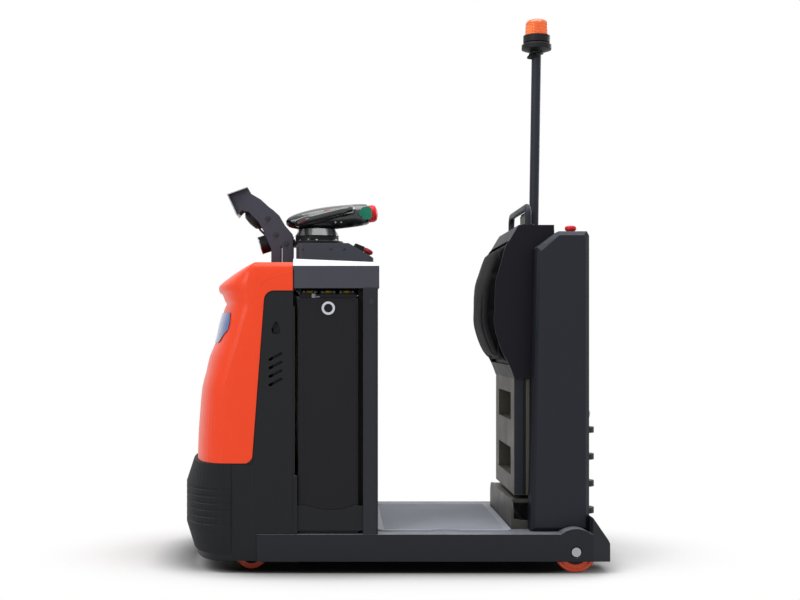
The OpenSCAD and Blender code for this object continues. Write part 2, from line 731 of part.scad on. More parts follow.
module key_switch() color("#b9bcc0") on_dash(0.72) translate([0, dash_w * 0.3, 0]) {
    translate([0, 0, -dash_h * 0.12]) cylinder(d = dash_stop_d * 0.4, h = dash_h * 0.2);
    translate([0, 0, gap]) cylinder(d = dash_stop_d * 0.7, h = dash_h * 0.08);
    block([-dash_stop_d * 0.25, dash_stop_d * 0.25], [-dash_stop_d * 0.06, dash_stop_d * 0.06],
        [dash_h * 0.08, dash_h * 0.42]);
}

module mushroom(d, stroke) {
    translate([0, 0, -stroke * 2]) cylinder(d = d * 0.5, h = stroke * 4);
    translate([0, 0, stroke + gap]) rotate_extrude() polygon([[0, 0], [d * 0.32, 0],
        [d * 0.5, d * 0.18], [d * 0.5, d * 0.36], [d * 0.44, d * 0.46], [d * 0.25, d * 0.52],
        [0, d * 0.54]]);
}
module dash_stop_button() color("#8c1a1c") on_dash(0.72) translate([0, -dash_w * 0.3, 0])
    mushroom(dash_stop_d, stop_stroke);

// Steering base and head, the head's body lying along a tilted line
function steer_x() = x_bay + bay_len * 0.262;
function neck_z() = cover_top + dash_h + steer_base_h;
module steering_base() color("#1f2125") translate([steer_x(), 0, cover_top + dash_h])
    difference() {
        rotate_extrude() polygon([[0, 0], [steer_base_d / 2, 0], [steer_base_d / 2,
            steer_base_h * 0.42], [steer_base_d * 0.49, steer_base_h * 0.5],
            [steer_base_d * 0.41, steer_base_h * 0.5], [steer_base_d * 0.41,
            steer_base_h * 0.94], [steer_base_d * 0.4, steer_base_h], [0, steer_base_h]]);
        translate([0, 0, plate_t / 2]) cylinder(d = neck_d + 2 * fit, h = steer_base_h);
    }

module in_head() translate([steer_x() - head_len * 0.376, 0, neck_z() + head_d * 0.61])
    rotate([0, 90 - head_tilt, 0]) children();
module grip_loop() {
    for (end = [-1, 1]) translate([0, 0, end * grip_run / 2]) rotate([0, 90, 0])
        rotate([0, 0, 90 * end]) rotate_extrude(angle = 180) translate([grip_ring_d / 2, 0])
            circle(d = grip_d);
    for (side = [-1, 1]) translate([0, side * grip_ring_d / 2, -grip_run / 2])
        cylinder(d = grip_d, h = grip_run);
}
module steering_head() color("#1c2a26") difference() {
    union() {
        in_head() rotate_extrude() polygon(concat([[0, 0]],
            [for (p = smooth(head_shares, 2)) [head_d / 2 * p[1], head_len * p[0]]],
            [[0, head_len]]));
        translate([steer_x(), 0, neck_z() - steer_base_h + plate_t / 2 + gap])
            cylinder(d = neck_d, h = steer_base_h + head_d * 0.6);
        translate([steer_x(), 0, neck_z() + gap]) cylinder(d1 = steer_base_d * 0.85,
            d2 = steer_base_d * 0.7, h = head_d * 0.3);
        in_head() for (side = [-1, 1]) translate([0, side * grip_ring_d * 0.84, head_len * 0.48])
            rotate([0, -grip_tilt, 0]) grip_loop();
    }
    in_head() {
        translate([0, 0, head_len - belly_stroke * 2 - gap]) cylinder(d = belly_d + 2 * fit,
            h = head_len);
        translate([0, 0, head_len - belly_stroke * 3]) rod_y(plate_t * 1.25 + 2 * fit,
            -head_d, head_d);
    }
}

module throttle() color("#2f8f4e") in_head() translate([0, 0, head_len - belly_stroke * 3]) {
    rod_y(plate_t * 1.25, -head_d * 0.56, head_d * 0.56);
    for (side = [-1, 1]) translate([0, side * head_d * 0.58 + plate_t / 2, 0])
        rotate([90, 0, 0]) linear_extrude(plate_t) {
            circle(d = plate_t * 2.4);
            translate([0, wing_w * 0.5]) rounded([-wing_h / 2, wing_h / 2],
                [-wing_w * 0.5, wing_w * 0.5], wing_w * 0.3);
        }
}

module belly_button() color("#c9202a") in_head() translate([0, 0, head_len - belly_stroke])
    rotate_extrude() polygon([[0, 0], [belly_d / 2, 0], [belly_d / 2, belly_stroke * 3.5],
        [belly_d * 0.42, belly_stroke * 4.6], [belly_d * 0.2, belly_stroke * 5.2],
        [0, belly_stroke * 5.4]]);

// Guard: two arms, a folded visor over their heads, and the lamps between them
function guard_foot() = x_bay - nose_len * 0.033;
function guard_point(p) = [guard_foot() - guard_reach * p[0], hood_top + guard_h * p[1]];
module at_guard(p) translate([guard_point(p)[0], 0, guard_point(p)[1]]) children();
module guard_arms() color("#26272a") both_sides() {
    across(guard_t - guard_w / 2, guard_t) difference() {
        polygon([for (p = guard_shares) guard_point(p)]);
        translate([guard_foot() - guard_reach * 0.19, hood_top + guard_t])
            square([guard_t, guard_h * 0.25]);
    }
    block([guard_foot() - guard_reach * 0.336, guard_foot()], [-guard_w / 2 - guard_t * 4,
        -guard_w / 2], [hood_top, hood_top + guard_t]);
}
module guard_visor() color("#8d8e90") {
    tip = guard_point(guard_shares[6]);
    front = guard_point(guard_shares[7]);
    crest = guard_point(guard_shares[8]);
    across(guard_w / 2 - guard_t, guard_w - 2 * guard_t) polygon([tip, front, crest,
        crest - [0, guard_t], front + [guard_t * 1.3, -guard_t], tip + [guard_t, 0]]);
}

headlamp_shares = [0.34, 0.336];
module headlamp_body() color("#3a3c40") at_guard(headlamp_shares) rotate([0, -108, 0])
    difference() {
        union() {
            cylinder(d = headlamp_d, h = headlamp_d * 0.66);
            translate([0, 0, -headlamp_d * 0.18]) cylinder(d = headlamp_d * 0.7,
                h = headlamp_d * 0.2);
            rod_y(guard_t * 2, guard_t - guard_w / 2, guard_w / 2 - guard_t);
        }
        translate([0, 0, headlamp_d * 0.5]) cylinder(d = headlamp_d - guard_t, h = headlamp_d);
    }
module headlamp_lens() color("#dfe6ea") at_guard(headlamp_shares) rotate([0, -108, 0])
    translate([0, 0, headlamp_d * 0.5]) rotate_extrude() polygon([[0, 0],
        [headlamp_d / 2 - guard_t / 2 - gap, 0], [headlamp_d / 2 - guard_t / 2 - gap, guard_t],
        [headlamp_d * 0.25, guard_t * 2], [0, guard_t * 2.3]]);
module work_lamp() color("#1a1b1d") at_guard([0.565, 0.664]) rotate([0, -135, 0]) {
    rotate_extrude() polygon([[0, -lamp_d * 0.2], [lamp_d * 0.25, -lamp_d * 0.2],
        [lamp_d / 2, 0], [lamp_d / 2, lamp_d * 0.2], [lamp_d * 0.46, lamp_d * 0.3],
        [lamp_d * 0.32, lamp_d * 0.42], [0, lamp_d * 0.46]]);
    rod_y(guard_t * 2, guard_t - guard_w / 2, guard_w / 2 - guard_t);
}

// Column: frame, side covers, rear panel
function column_point(p, inset) = [x_column - column_len + inset + (column_len - 2 * inset)
    * p[0], floor_top + inset + (column_top - floor_top - 2 * inset) * p[1]];
module core_outline(t) polygon([[x_core + t, floor_top + t], [x_core + t, column_point(
    column_shares[1], 0)[1]], [column_point(column_shares[2], 0)[0] + t * 0.5, column_top - t],
    [x_column - plate_t, column_top - t], [x_column - plate_t, floor_top + t]]);
module column_frame() color("#24262c") {
    difference() {
        across(core_w / 2, core_w) core_outline(0);
        across(core_w / 2 - plate_t, core_w - 2 * plate_t) core_outline(plate_t);
        block([x_column - 2 * plate_t, x_column], [plate_t - core_w / 2, core_w / 2 - plate_t],
            [floor_top + plate_t, column_top - plate_t]);
        translate([x_column - column_len * 0.23, -core_w / 2 + plate_t * 3.5,
            column_top - stop_stroke * 3]) cylinder(d = column_stop_d * 0.5 + 2 * fit,
            h = stop_stroke * 4);
    }
}
module column_cover() {
    difference() {
        hull() {
            across(-core_w / 2, cover_w - side_bevel)
                polygon([for (p = column_shares) column_point(p, 0)]);
            across(-core_w / 2, cover_w)
                polygon([for (p = column_shares) column_point(p, side_bevel)]);
        }
        across(-core_w / 2 + over, cover_w - side_bevel + over)
            polygon([for (p = column_shares) column_point(p, side_bevel)]);
        translate([x_axle, 0, z_axle]) rod_y(2 * (arch_r + gap), -half_w - cover_w,
            rail_flange + gap - half_w);
    }
}
module column_left_cover() color("#2e3139") column_cover();
module column_right_cover() color("#2e3139") mirror([0, 1, 0]) column_cover();
module column_rear_panel() color("#2e3139") {
    block([x_column - plate_t, x_column], [-core_w / 2, core_w / 2], [floor_top, column_top]);
}
module column_stop_button() color("#c9202a") translate([x_column - column_len * 0.23,
    -core_w / 2 + plate_t * 3.5, column_top]) mushroom(column_stop_d, stop_stroke);

// Backrest: shell with its cushion, lower panel with pockets, kick plate
module back_outline() polygon(concat(
    [for (p = back_line) [x_core - back_depth * p[1], panel_top + back_h * p[0]]],
    [[x_core + column_len * 0.36, back_top], [column_point(column_shares[2], 0)[0], column_top],
    [x_core, column_point(column_shares[1], 0)[1]], [x_core, panel_top]]));
module backrest_shell() color("#231f28") difference() {
    across(back_w / 2, back_w) back_outline();
    block([back_x - skin_t, pad_back], [-pad_half, pad_half], [panel_top + back_h * pad_low,
        panel_top + back_h * pad_high]);
    block([pad_back + skin_t, x_core + over], [skin_t - back_w / 2, back_w / 2 - skin_t],
        [panel_top + skin_t, panel_top + back_h * 0.8]);
}

function pad_share(k) = pad_low + gap / back_h + (pad_high - pad_low - 2 * gap / back_h)
    * k / (pad_rows - 1);
function pad_swell(k) = pow(sin(180 * (k + 0.5) / pad_rows), 0.5);
function pad_y(k, i) = (pad_half - gap * 4 - gap * 6 * sin(180 * k / (pad_rows - 1)))
    * (1 - 2 * i / (pad_cols - 1));
function channel(y, k) = channel_d * exp(-pow((abs(y) - pad_half * 0.55) / (pad_half * 0.05), 2))
    * max(1 - k / (pad_rows * 0.6), 0);
function pad_front(y, k) = back_at(pad_share(k)) - crown * pad_swell(k)
    * (1 - pow(abs(y) / pad_half, 3)) + crown * 0.25 * pow(abs(y) / pad_half, 12)
    + channel(y, k);
module backrest_cushion() color("#1c191f") skin([for (k = [0:pad_rows - 1]) concat(
    [for (i = [0:pad_cols - 1]) let (y = pad_y(k, i)) [pad_front(y, k), y,
        panel_top + back_h * pad_share(k)]],
    [for (i = [pad_cols - 1, 0]) [pad_back - gap, pad_y(k, i),
        panel_top + back_h * pad_share(k)]])]);

module lower_panel() color("#6a665f") {
    x = x_core - panel_depth;
    difference() {
        block([x, x_core], [-panel_w / 2, panel_w / 2], [panel_bottom, panel_top]);
        for (share = [0.15, 0.63]) translate([0, 0, panel_bottom + panel_h * share])
            block([x - over, x_core - plate_t], [-pocket_w / 2, pocket_w / 2], [0, pocket_h]);
    }
}

module kick_plate() color("#4a4a4c") {
    y = kick_w / 2;
    r = kick_h * 0.45;
    deep = x_column - column_len - gap - x_kick;
    translate([x_kick, 0, floor_top]) {
        rotate([90, 0, 90]) linear_extrude(plate_t) {
            translate([-y, 0]) square([kick_w, kick_h - r]);
            translate([r - y, 0]) square([kick_w - 2 * r, kick_h]);
            for (side = [-1, 1]) translate([side * (y - r), kick_h - r]) circle(r = r);
        }
        both_sides() translate([0, plate_t - y, 0]) rotate([90, 0, 0]) linear_extrude(plate_t)
            polygon([[plate_t, 0], [deep, 0], [deep, kick_h * 0.3], [plate_t, kick_h * 0.35]]);
        block([plate_t, x_core - x_kick], [-panel_w / 2, panel_w / 2], [kick_h - plate_t * 1.5,
            kick_h]);
    }
}

// Grab bar with its plate, mast and beacon
module grab_bar() color("#1d1e21") translate([x_core - grab_d * 0.45, 0, back_top]) {
    r = grab_d * 1.5;
    both_sides() {
        translate([0, -grab_w / 2, 0]) cylinder(d = grab_d, h = grab_h - r - grab_d / 2);
        translate([0, -grab_w / 2, 0]) cylinder(d = grab_d * 1.8, h = guard_t);
        translate([0, r - grab_w / 2, grab_h - r - grab_d / 2]) rotate([0, 90, 0])
            rotate([0, 0, 180]) rotate_extrude(angle = 90) translate([r, 0]) circle(d = grab_d);
    }
    translate([0, 0, grab_h - grab_d / 2]) rod_y(grab_d, r - grab_w / 2, grab_w / 2 - r);
    block([grab_d * 0.7, grab_d * 0.7 + guard_t], [-grab_w * 0.17, grab_w * 0.17],
        [0, grab_h * 0.8]);
    block([grab_d * 0.7 - grab_d, grab_d * 0.7], [-grab_w * 0.17, grab_w * 0.17],
        [0, guard_t * 0.7]);
}

function mast_x() = x_core + column_len * 0.21;
module on_mast() translate([mast_x(), 0, back_top]) rotate([0, mast_lean, 0]) children();
module mast() color("#1a1b1e") intersection() {
    on_mast() {
        translate([0, 0, -plate_t]) cylinder(d = mast_d, h = mast_h + plate_t);
        translate([0, 0, -plate_t]) cylinder(d = mast_d * 1.5, h = plate_t * 3.2);
    }
    block([x_core, x_rear], [-half_w, half_w], [back_top, back_top * 2]);
}
module beacon_base() color("#1a1b1e") on_mast() translate([0, 0, mast_h]) rotate_extrude()
    polygon([[0, 0], [mast_d * 0.75, 0], [mast_d * 0.75, beacon_h * 0.04],
        [beacon_d / 2, beacon_h * 0.12], [beacon_d / 2, beacon_h * 0.25],
        [beacon_lens_d * 0.53, beacon_h * 0.3], [beacon_lens_d * 0.57, beacon_h * 0.32],
        [beacon_lens_d * 0.57, beacon_h * 0.52], [0, beacon_h * 0.52]]);
module beacon_lens() color("#f07818") on_mast() translate([0, 0, mast_h + beacon_h * 0.52])
    rotate_extrude() polygon([[0, 0], [beacon_lens_d / 2, 0],
        [beacon_lens_d * 0.48, beacon_h * 0.36], [beacon_lens_d * 0.42, beacon_h * 0.43],
        [beacon_lens_d * 0.3, beacon_h * 0.47], [0, beacon_h * 0.48]]);

// Tow coupling with four jaws, and its pin
function tow_x() = x_rear - jaw_w / 2;
module tow_coupling() color("#2a2b2e") difference() {
    union() {
        block([x_column, x_column + plate_t * 1.5], [-jaw_w * 0.75, jaw_w * 0.75],
            [jaw_low - jaw_t, jaw_low + 3 * jaw_pitch + jaw_t]);
        for (k = [0:3]) translate([0, 0, jaw_low + k * jaw_pitch - jaw_t / 2]) {
            block([x_column + plate_t, tow_x()], [-jaw_w / 2, jaw_w / 2], [0, jaw_t]);
            translate([tow_x(), 0, 0]) cylinder(d = jaw_w, h = jaw_t);
        }
    }
    translate([tow_x(), 0, 0]) cylinder(d = tow_pin_d + 2 * fit, h = column_top);
}
module tow_pin() color("#9a9ca0") translate([tow_x(), 0, 0]) {
    low = jaw_low - jaw_t * 1.2;
    high = jaw_low + 3 * jaw_pitch + jaw_t / 2;
    translate([0, 0, low]) cylinder(d = tow_pin_d, h = high - low + tow_pin_d);
    translate([0, 0, high + gap]) cylinder(d = tow_pin_d * 1.6, h = tow_pin_d * 0.4);
    translate([0, 0, high + tow_pin_d * 1.8]) rotate([90, 0, 0]) rotate_extrude()
        translate([tow_pin_d * 0.9, 0]) circle(d = tow_pin_d * 0.4);
}

// Steered drive unit
module drive_housing() color("#3c3e42") translate([x_steer, 0, 0]) {
    z = slew_z - plate_t * 1.5;
    y = [drive_w / 2 + plate_t * 0.75, drive_w / 2 + plate_t * 8];
    difference() {
        union() {
            translate([0, 0, z - plate_t * 1.5 - gap]) cylinder(d = slew_d + plate_t * 3,
                h = plate_t * 1.5);
            translate([0, 0, z - plate_t * 2]) cylinder(d = slew_d, h = plate_t * 4);
            translate([0, 0, drive_d / 2]) rod_y(drive_d * 0.66, y[0], y[1]);
            block([-drive_d * 0.33, drive_d * 0.33], y, [drive_d / 2, z - plate_t * 1.5 - gap]);
            block([-drive_d * 0.33, drive_d * 0.33], [-drive_w * 0.6, y[1]],
                [drive_d + plate_t * 2, z - plate_t * 1.5 - gap]);
        }
        translate([0, 0, drive_d / 2]) rod_y(axle_d * 1.6 + 2 * fit, 0, y[1] - plate_t * 2);
    }
}
module drive_motor() color("#55585c") translate([x_steer, 0, slew_z + plate_t / 2]) {
    cylinder(d = motor_d, h = motor_h * 0.85);
    cylinder(d = motor_d * 1.1, h = plate_t * 1.5);
    translate([0, 0, motor_h * 0.85]) cylinder(d = motor_d * 0.8, h = motor_h * 0.15);
}
module drive_hub() color("#8b8e92") translate([x_steer, 0, drive_d / 2]) difference() {
    union() {
        rod_y(drive_d * 0.64, -drive_w * 0.42, drive_w * 0.42);
        rod_y(axle_d * 1.6, -drive_w * 0.46, drive_w / 2 + plate_t * 5);
    }
    for (k = [0:6]) rotate([0, k * 360 / 7, 0]) translate([drive_d * 0.22, 0, 0])
        rod_y(plate_t * 1.5, -drive_w, -drive_w * 0.3);
}
module drive_tyre() color("#1b1b1c") translate([x_steer, 0, drive_d / 2]) rotate([90, 0, 0])
    rotate_extrude() polygon([[drive_d * 0.32, -drive_w * 0.48], [drive_d * 0.49,
        -drive_w / 2], [drive_d / 2, -drive_w * 0.46], [drive_d / 2, drive_w * 0.46],
        [drive_d * 0.49, drive_w / 2], [drive_d * 0.32, drive_w * 0.48]]);

// Casters
module at_caster() translate([x_cast, -caster_gap / 2, 0]) children();
module caster_fork() {
    crown = caster_d + plate_t * 0.5;
    leg = caster_w / 2 + gap * 5;
    at_caster() {
        translate([0, 0, crown]) cylinder(d = caster_w * 0.7, h = plate_t * 5.5 + caster_d * 0.3);
        translate([0, 0, crown]) cylinder(d = caster_w * 1.5, h = plate_t * 2 - gap);
        block([-caster_w, caster_trail + caster_w * 0.5], [-leg - plate_t / 2, leg + plate_t / 2],
            [crown, crown + plate_t * 0.8]);
        for (y = [-leg, leg + plate_t / 2]) across(y, plate_t / 2) polygon([
            [-caster_w, crown + plate_t * 0.8], [caster_trail + caster_w * 0.5, crown
            + plate_t * 0.8], [caster_trail + caster_w * 0.4, caster_d * 0.42],
            [caster_trail - caster_w * 0.4, caster_d * 0.42]]);
        translate([caster_trail, 0, caster_d / 2]) rod_y(plate_t * 1.5, -leg - plate_t / 2,
            leg + plate_t / 2);
    }
}
module left_caster_fork() color("#6f7276") caster_fork();
module right_caster_fork() color("#6f7276") mirror([0, 1, 0]) caster_fork();
module caster_wheel() at_caster() translate([caster_trail, 0, caster_d / 2])
    rotate([90, 0, 0]) rotate_extrude() polygon([[plate_t * 0.75 + fit, -caster_w / 2],
        [caster_d * 0.48, -caster_w / 2], [caster_d / 2, -caster_w * 0.4],
        [caster_d / 2, caster_w * 0.4], [caster_d * 0.48, caster_w / 2],
        [plate_t * 0.75 + fit, caster_w / 2]]);
module left_caster_wheel() color("#d4502a") caster_wheel();
module right_caster_wheel() color("#d4502a") mirror([0, 1, 0]) caster_wheel();

module rear_axle() color("#8b8e92") translate([x_axle, 0, z_axle])
    rod_y(axle_d, gap - half_w, half_w - gap);
module rear_wheel() translate([x_axle, rail_skin + gap * 10 - half_w, z_axle])
    rotate([-90, 0, 0]) rotate_extrude() polygon([[axle_d / 2 + fit, 0], [rear_d * 0.3, 0],
        [rear_d * 0.32, rear_w * 0.08], [rear_d * 0.4, rear_w * 0.08], [rear_d * 0.42, 0],
        [rear_d * 0.48, 0], [rear_d / 2, rear_w * 0.1], [rear_d / 2, rear_w * 0.9],
        [rear_d * 0.48, rear_w], [axle_d / 2 + fit, rear_w]]);
module left_rear_wheel() color("#d4502a") rear_wheel();
module right_rear_wheel() color("#d4502a") mirror([0, 1, 0]) rear_wheel();

// Bolt heads on the guard's feet, the steering base, the posts and the tow coupling
module bolt(d) {
    cylinder(d = d * 1.5, h = d * 0.15);
    cylinder(d = d, h = d * 0.6, $fn = 6);
}
module fasteners() color("#b5b8bc") {
    d = guard_t * 2;
    both_sides() {
        for (x = [guard_foot() - guard_reach * 0.29, guard_foot() - guard_reach * 0.07])
            translate([x, -guard_w / 2 - guard_t * 2.2, hood_top + guard_t]) bolt(d);
        for (p = bolt_shares) at_guard(p) translate([0, -guard_w / 2, 0])
            rotate([90, 0, 0]) bolt(d);
        translate([x_step - post_len * 0.45, gap * 5 - half_w, cover_bottom - post_len * 0.9])
            rotate([90, 0, 0]) cylinder(d = d * 1.5, h = gap * 4);
        for (z = [jaw_low - jaw_t * 0.2, jaw_low + 3 * jaw_pitch + jaw_t * 0.2])
            translate([x_column + plate_t * 1.5, -jaw_w * 0.62, z]) rotate([0, 90, 0]) bolt(d);
    }
    for (a = [35:72.5:325]) rotate_about(steer_x(), a) translate([steer_base_d * 0.45, 0,
        cover_top + dash_h + steer_base_h * 0.5]) cylinder(d = d, h = steer_base_h * 0.25);
}
module rotate_about(x, a) translate([x, 0, 0]) rotate(a) children();

left_rail();
right_rail();
tail_blocks();
fasteners();
under_beams();
platform_floor();
floor_mat();
drive_frame();
front_skirt();
front_bumper();
hood();
nose_lens();
left_side_panel();
right_side_panel();
battery_case();
battery_rings();
left_keeper();
right_keeper();
console_posts();
bay_wall();
console_cover();
dash_panel();
display_unit();
key_switch();
dash_stop_button();
steering_base();
steering_head();
throttle();
belly_button();
guard_arms();
guard_visor();
headlamp_body();
headlamp_lens();
work_lamp();
column_frame();
column_left_cover();
column_right_cover();
column_rear_panel();
column_stop_button();
backrest_shell();
backrest_cushion();
lower_panel();
kick_plate();
grab_bar();
mast();
beacon_base();
beacon_lens();
tow_coupling();
tow_pin();
drive_housing();
drive_motor();
drive_hub();
drive_tyre();
left_caster_fork();
right_caster_fork();
left_caster_wheel();
right_caster_wheel();
rear_axle();
left_rear_wheel();
right_rear_wheel();
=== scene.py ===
"""Finishes, soft parts and detail pieces of a stand-on electric tow tractor, with its studio."""

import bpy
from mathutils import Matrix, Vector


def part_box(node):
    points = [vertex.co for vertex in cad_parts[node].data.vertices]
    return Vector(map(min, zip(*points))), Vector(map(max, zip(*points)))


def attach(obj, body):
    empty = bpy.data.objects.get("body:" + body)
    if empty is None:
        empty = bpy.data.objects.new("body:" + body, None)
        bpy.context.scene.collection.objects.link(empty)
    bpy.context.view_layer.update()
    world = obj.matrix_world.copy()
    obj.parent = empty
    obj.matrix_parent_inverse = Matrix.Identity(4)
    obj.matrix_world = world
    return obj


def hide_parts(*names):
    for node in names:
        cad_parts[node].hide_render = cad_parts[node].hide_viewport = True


bl_info = {
    "name": "Electric tow tractor",
    "version": (1, 0, 0),
    "blender": (4, 5, 0),
    "location": "3D View > Sidebar > Tow tractor",
    "description": "Dresses the packed tow tractor with finishes, upholstery and fittings",
    "category": "Object",
}
import bpy
import bmesh
import math
from mathutils import Matrix, Vector, noise
from mathutils.bvhtree import BVHTree

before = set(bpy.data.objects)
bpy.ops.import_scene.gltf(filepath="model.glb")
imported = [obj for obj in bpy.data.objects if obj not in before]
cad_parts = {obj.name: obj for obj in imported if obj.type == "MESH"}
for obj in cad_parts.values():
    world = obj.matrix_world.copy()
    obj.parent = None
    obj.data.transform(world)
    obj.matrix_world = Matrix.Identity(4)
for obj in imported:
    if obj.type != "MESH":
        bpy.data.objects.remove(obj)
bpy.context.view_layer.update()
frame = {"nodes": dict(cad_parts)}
MM = 0.001
SIDES = (-1, 1)


# Colour and size helpers

def linear(hex_text):
    """The linear colour that an sRGB hex value stands for."""
    parts = [int(hex_text[k:k + 2], 16) / 255 for k in (0, 2, 4)]
    return tuple(p / 12.92 if p <= 0.04045 else ((p + 0.055) / 1.055) ** 2.4 for p in parts)


def colour_property(name, description, hex_text):
    """A colour a user may change, with its default given as a hex value."""
    return bpy.props.FloatVectorProperty(name=name, description=description, subtype="COLOR",
                                         size=3, min=0, max=1, default=linear(hex_text))


def length_property(name, description, millimetres, low, high):
    """A length a user may change, with its default in millimetres."""
    return bpy.props.FloatProperty(name=name, description=description, unit="LENGTH",
                                   default=millimetres * MM, min=low * MM, max=high * MM)


class TractorColours(bpy.types.PropertyGroup):
    """Colours of the tractor's main finishes."""

    hood: colour_property("Hood paint", "Gloss paint of the front hood", "EC4218")
    panels: colour_property("Panel paint", "Powder coat of the nose and the side panels", "17181C")
    column: colour_property("Column paint", "Powder coat of the rear column", "1E2129")
    frame: colour_property("Frame paint", "Powder coat of the rails and the frame", "1D1F25")
    cover: colour_property("Console cover", "Moulded cover over the battery", "393A44")
    cushion: colour_property("Cushion cover", "Coated fabric of the backrest", "0C0B0E")
    shell: colour_property("Backrest shell", "Moulded shell behind the cushion", "17151C")
    # The beige trim colour is a painted highlight on a dark moulding
    painted_lit_trim: colour_property("Beige panel", "Moulded panel under the backrest", "5E5B51")
    mat: colour_property("Floor mat", "Ribbed rubber on the platform", "A3A7B1")
    tyre: colour_property("Wheel tread", "Cast tread of casters and rear wheels", "C9431F")
    lens: colour_property("Nose lens", "Blue lens under the visor", "285195")
    beacon: colour_property("Beacon lens", "Fluted lens of the beacon", "FF6A1C")
    button: colour_property("Stop buttons", "Red of the buttons", "D2202C")
    throttle: colour_property("Throttle", "Green of the throttle wings", "17735A")


class TractorSizes(bpy.types.PropertyGroup):
    """Sizes of the pieces that dress the tractor."""

    voxel: length_property("Cushion mesh", "Mesh size of the padded cushion", 5.5, 4, 8)
    swell: length_property("Cushion swell", "Furthest that the padding may swell", 12, 2, 16)
    welt: length_property("Welt", "Diameter of the welt round the cushion", 5, 3, 8)
    stitch: length_property("Stitch", "Length of one stitch", 5, 3, 8)
    gasket: length_property("Gasket", "Diameter of the rubber gaskets", 3.2, 2, 5)
    screw: length_property("Screws", "Thread size of the visible screws", 8, 5, 12)
    cell: length_property("Battery cell", "Width of one battery cell", 62, 50, 80)


def colours():
    """The scene's tractor colours."""
    return bpy.context.scene.tractor_colours


def sizes():
    """The scene's tractor sizes."""
    return bpy.context.scene.tractor_sizes


# Mesh helpers: each gives points and faces, in the unit it is given

def bands(rows, steps, closed=False):
    """Faces between rows of points: the last row meets the first, or both ends are capped."""
    faces = []
    for i in range(rows if closed else rows - 1):
        j = (i + 1) % rows
        faces += [(i * steps + k, i * steps + (k + 1) % steps, j * steps + (k + 1) % steps,
                   j * steps + k) for k in range(steps)]
    if not closed:
        faces += [tuple(reversed(range(steps))), tuple(range((rows - 1) * steps, rows * steps))]
    return faces


def lathe(profile, steps=40, closed=False):
    """A profile of (radius, height) turned round the Z axis."""
    turns = [2 * math.pi * k / steps for k in range(steps)]
    points = [(radius * math.cos(turn), radius * math.sin(turn), height)
              for radius, height in profile for turn in turns]
    return points, bands(len(profile), steps, closed)


def ring(profile, steps=36):
    """A closed profile of (radius, height) turned round the Z axis."""
    return lathe(profile, steps, closed=True)


def prism(outline, low, high):
    """A flat outline of (x, y) raised from one height to another."""
    return [(x, y, z) for z in (low, high) for x, y in outline], bands(2, len(outline))


def rounded(width, height, radius, steps=6):
    """The outline of a rectangle with round corners, centred on the origin."""
    outline = []
    for k, (sx, sy) in enumerate(((1, 1), (-1, 1), (-1, -1), (1, -1))):
        for j in range(steps + 1):
            turn = math.pi / 2 * (k + j / steps)
            outline.append((sx * (width / 2 - radius) + radius * math.cos(turn),
                            sy * (height / 2 - radius) + radius * math.sin(turn)))
    return outline


def tube(path, radius, steps=10, closed=False):
    """A round section swept along a path, of one radius or of one for each point."""
    path = [Vector(p) for p in path]
    count = len(path)
    points, side = [], None
    for i, centre in enumerate(path):
        before = path[(i - 1) % count] if closed or i else centre
        after = path[(i + 1) % count] if closed or i < count - 1 else centre
        along = (after - before).normalized()
        if side is None:
            side = along.orthogonal().normalized()
        side = (side - along * side.dot(along)).normalized()
        up = along.cross(side)
        r = radius[i] if isinstance(radius, (list, tuple)) else radius
        for k in range(steps):
            turn = 2 * math.pi * k / steps
            points.append(centre + (side * math.cos(turn) + up * math.sin(turn)) * r)
    return points, bands(count, steps, closed)


def smooth_path(points, parts=6):
    """A smooth curve through the given points."""
    points = [Vector(p) for p in points]
    last = len(points) - 1
    curve = []
    for i in range(last):
        p = [points[min(max(i + d, 0), last)] for d in (-1, 0, 1, 2)]
        for k in range(parts):
            t = k / parts
            curve.append(0.5 * (2 * p[1] + (p[2] - p[0]) * t
                                + (2 * p[0] - 5 * p[1] + 4 * p[2] - p[3]) * t * t
                                + (3 * p[1] - p[0] - 3 * p[2] + p[3]) * t * t * t))
    return curve + [points[-1]]


def facing(point, direction, roll=0.0):
    """The matrix that stands a shape's Z axis along a direction at a point."""
    turn = Vector(direction).to_track_quat("Z", "Y").to_matrix().to_4x4()
    return Matrix.Translation(point) @ turn @ Matrix.Rotation(roll, 4, "Z")


class Shape:
    """Points and faces of one piece, gathered from several forms."""

    def __init__(self):
        self.points = []
        self.faces = []

    def put(self, form, matrix=None):
        """Adds a form, moved by a matrix."""
        first = len(self.points)
        matrix = matrix or Matrix.Identity(4)
        self.points += [matrix @ Vector(p) for p in form[0]]
        self.faces += [tuple(first + k for k in face) for face in form[1]]
        return self

    def piece(self, name, body, slot, coat, bevel=0.0, sharp=35):
        """Makes the Blender object and rides it on its body; the slot is not used."""
        mesh = bpy.data.meshes.new(name)
        work = bmesh.new()
        corners = [work.verts.new(p) for p in self.points]
        for face in self.faces:
            try:
                work.faces.new([corners[k] for k in face])
            except ValueError:
                continue
        bmesh.ops.remove_doubles(work, verts=work.verts, dist=MM / 200)
        bmesh.ops.dissolve_degenerate(work, dist=MM / 500, edges=work.edges)
        bmesh.ops.recalc_face_normals(work, faces=work.faces)
        work.to_mesh(mesh)
        work.free()
        mesh.polygons.foreach_set("use_smooth", [True] * len(mesh.polygons))
        mesh.set_sharp_from_angle(angle=math.radians(sharp))
        obj = bpy.data.objects.new(name, mesh)
        bpy.context.scene.collection.objects.link(obj)
        mesh.materials.append(finish(coat))
        if bevel:
            edge = obj.modifiers.new("Edge", "BEVEL")
            edge.width = bevel
            edge.segments = 2
            edge.limit_method = "ANGLE"
            edge.angle_limit = math.radians(sharp)
            edge.harden_normals = True
        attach(obj, body)
        return obj


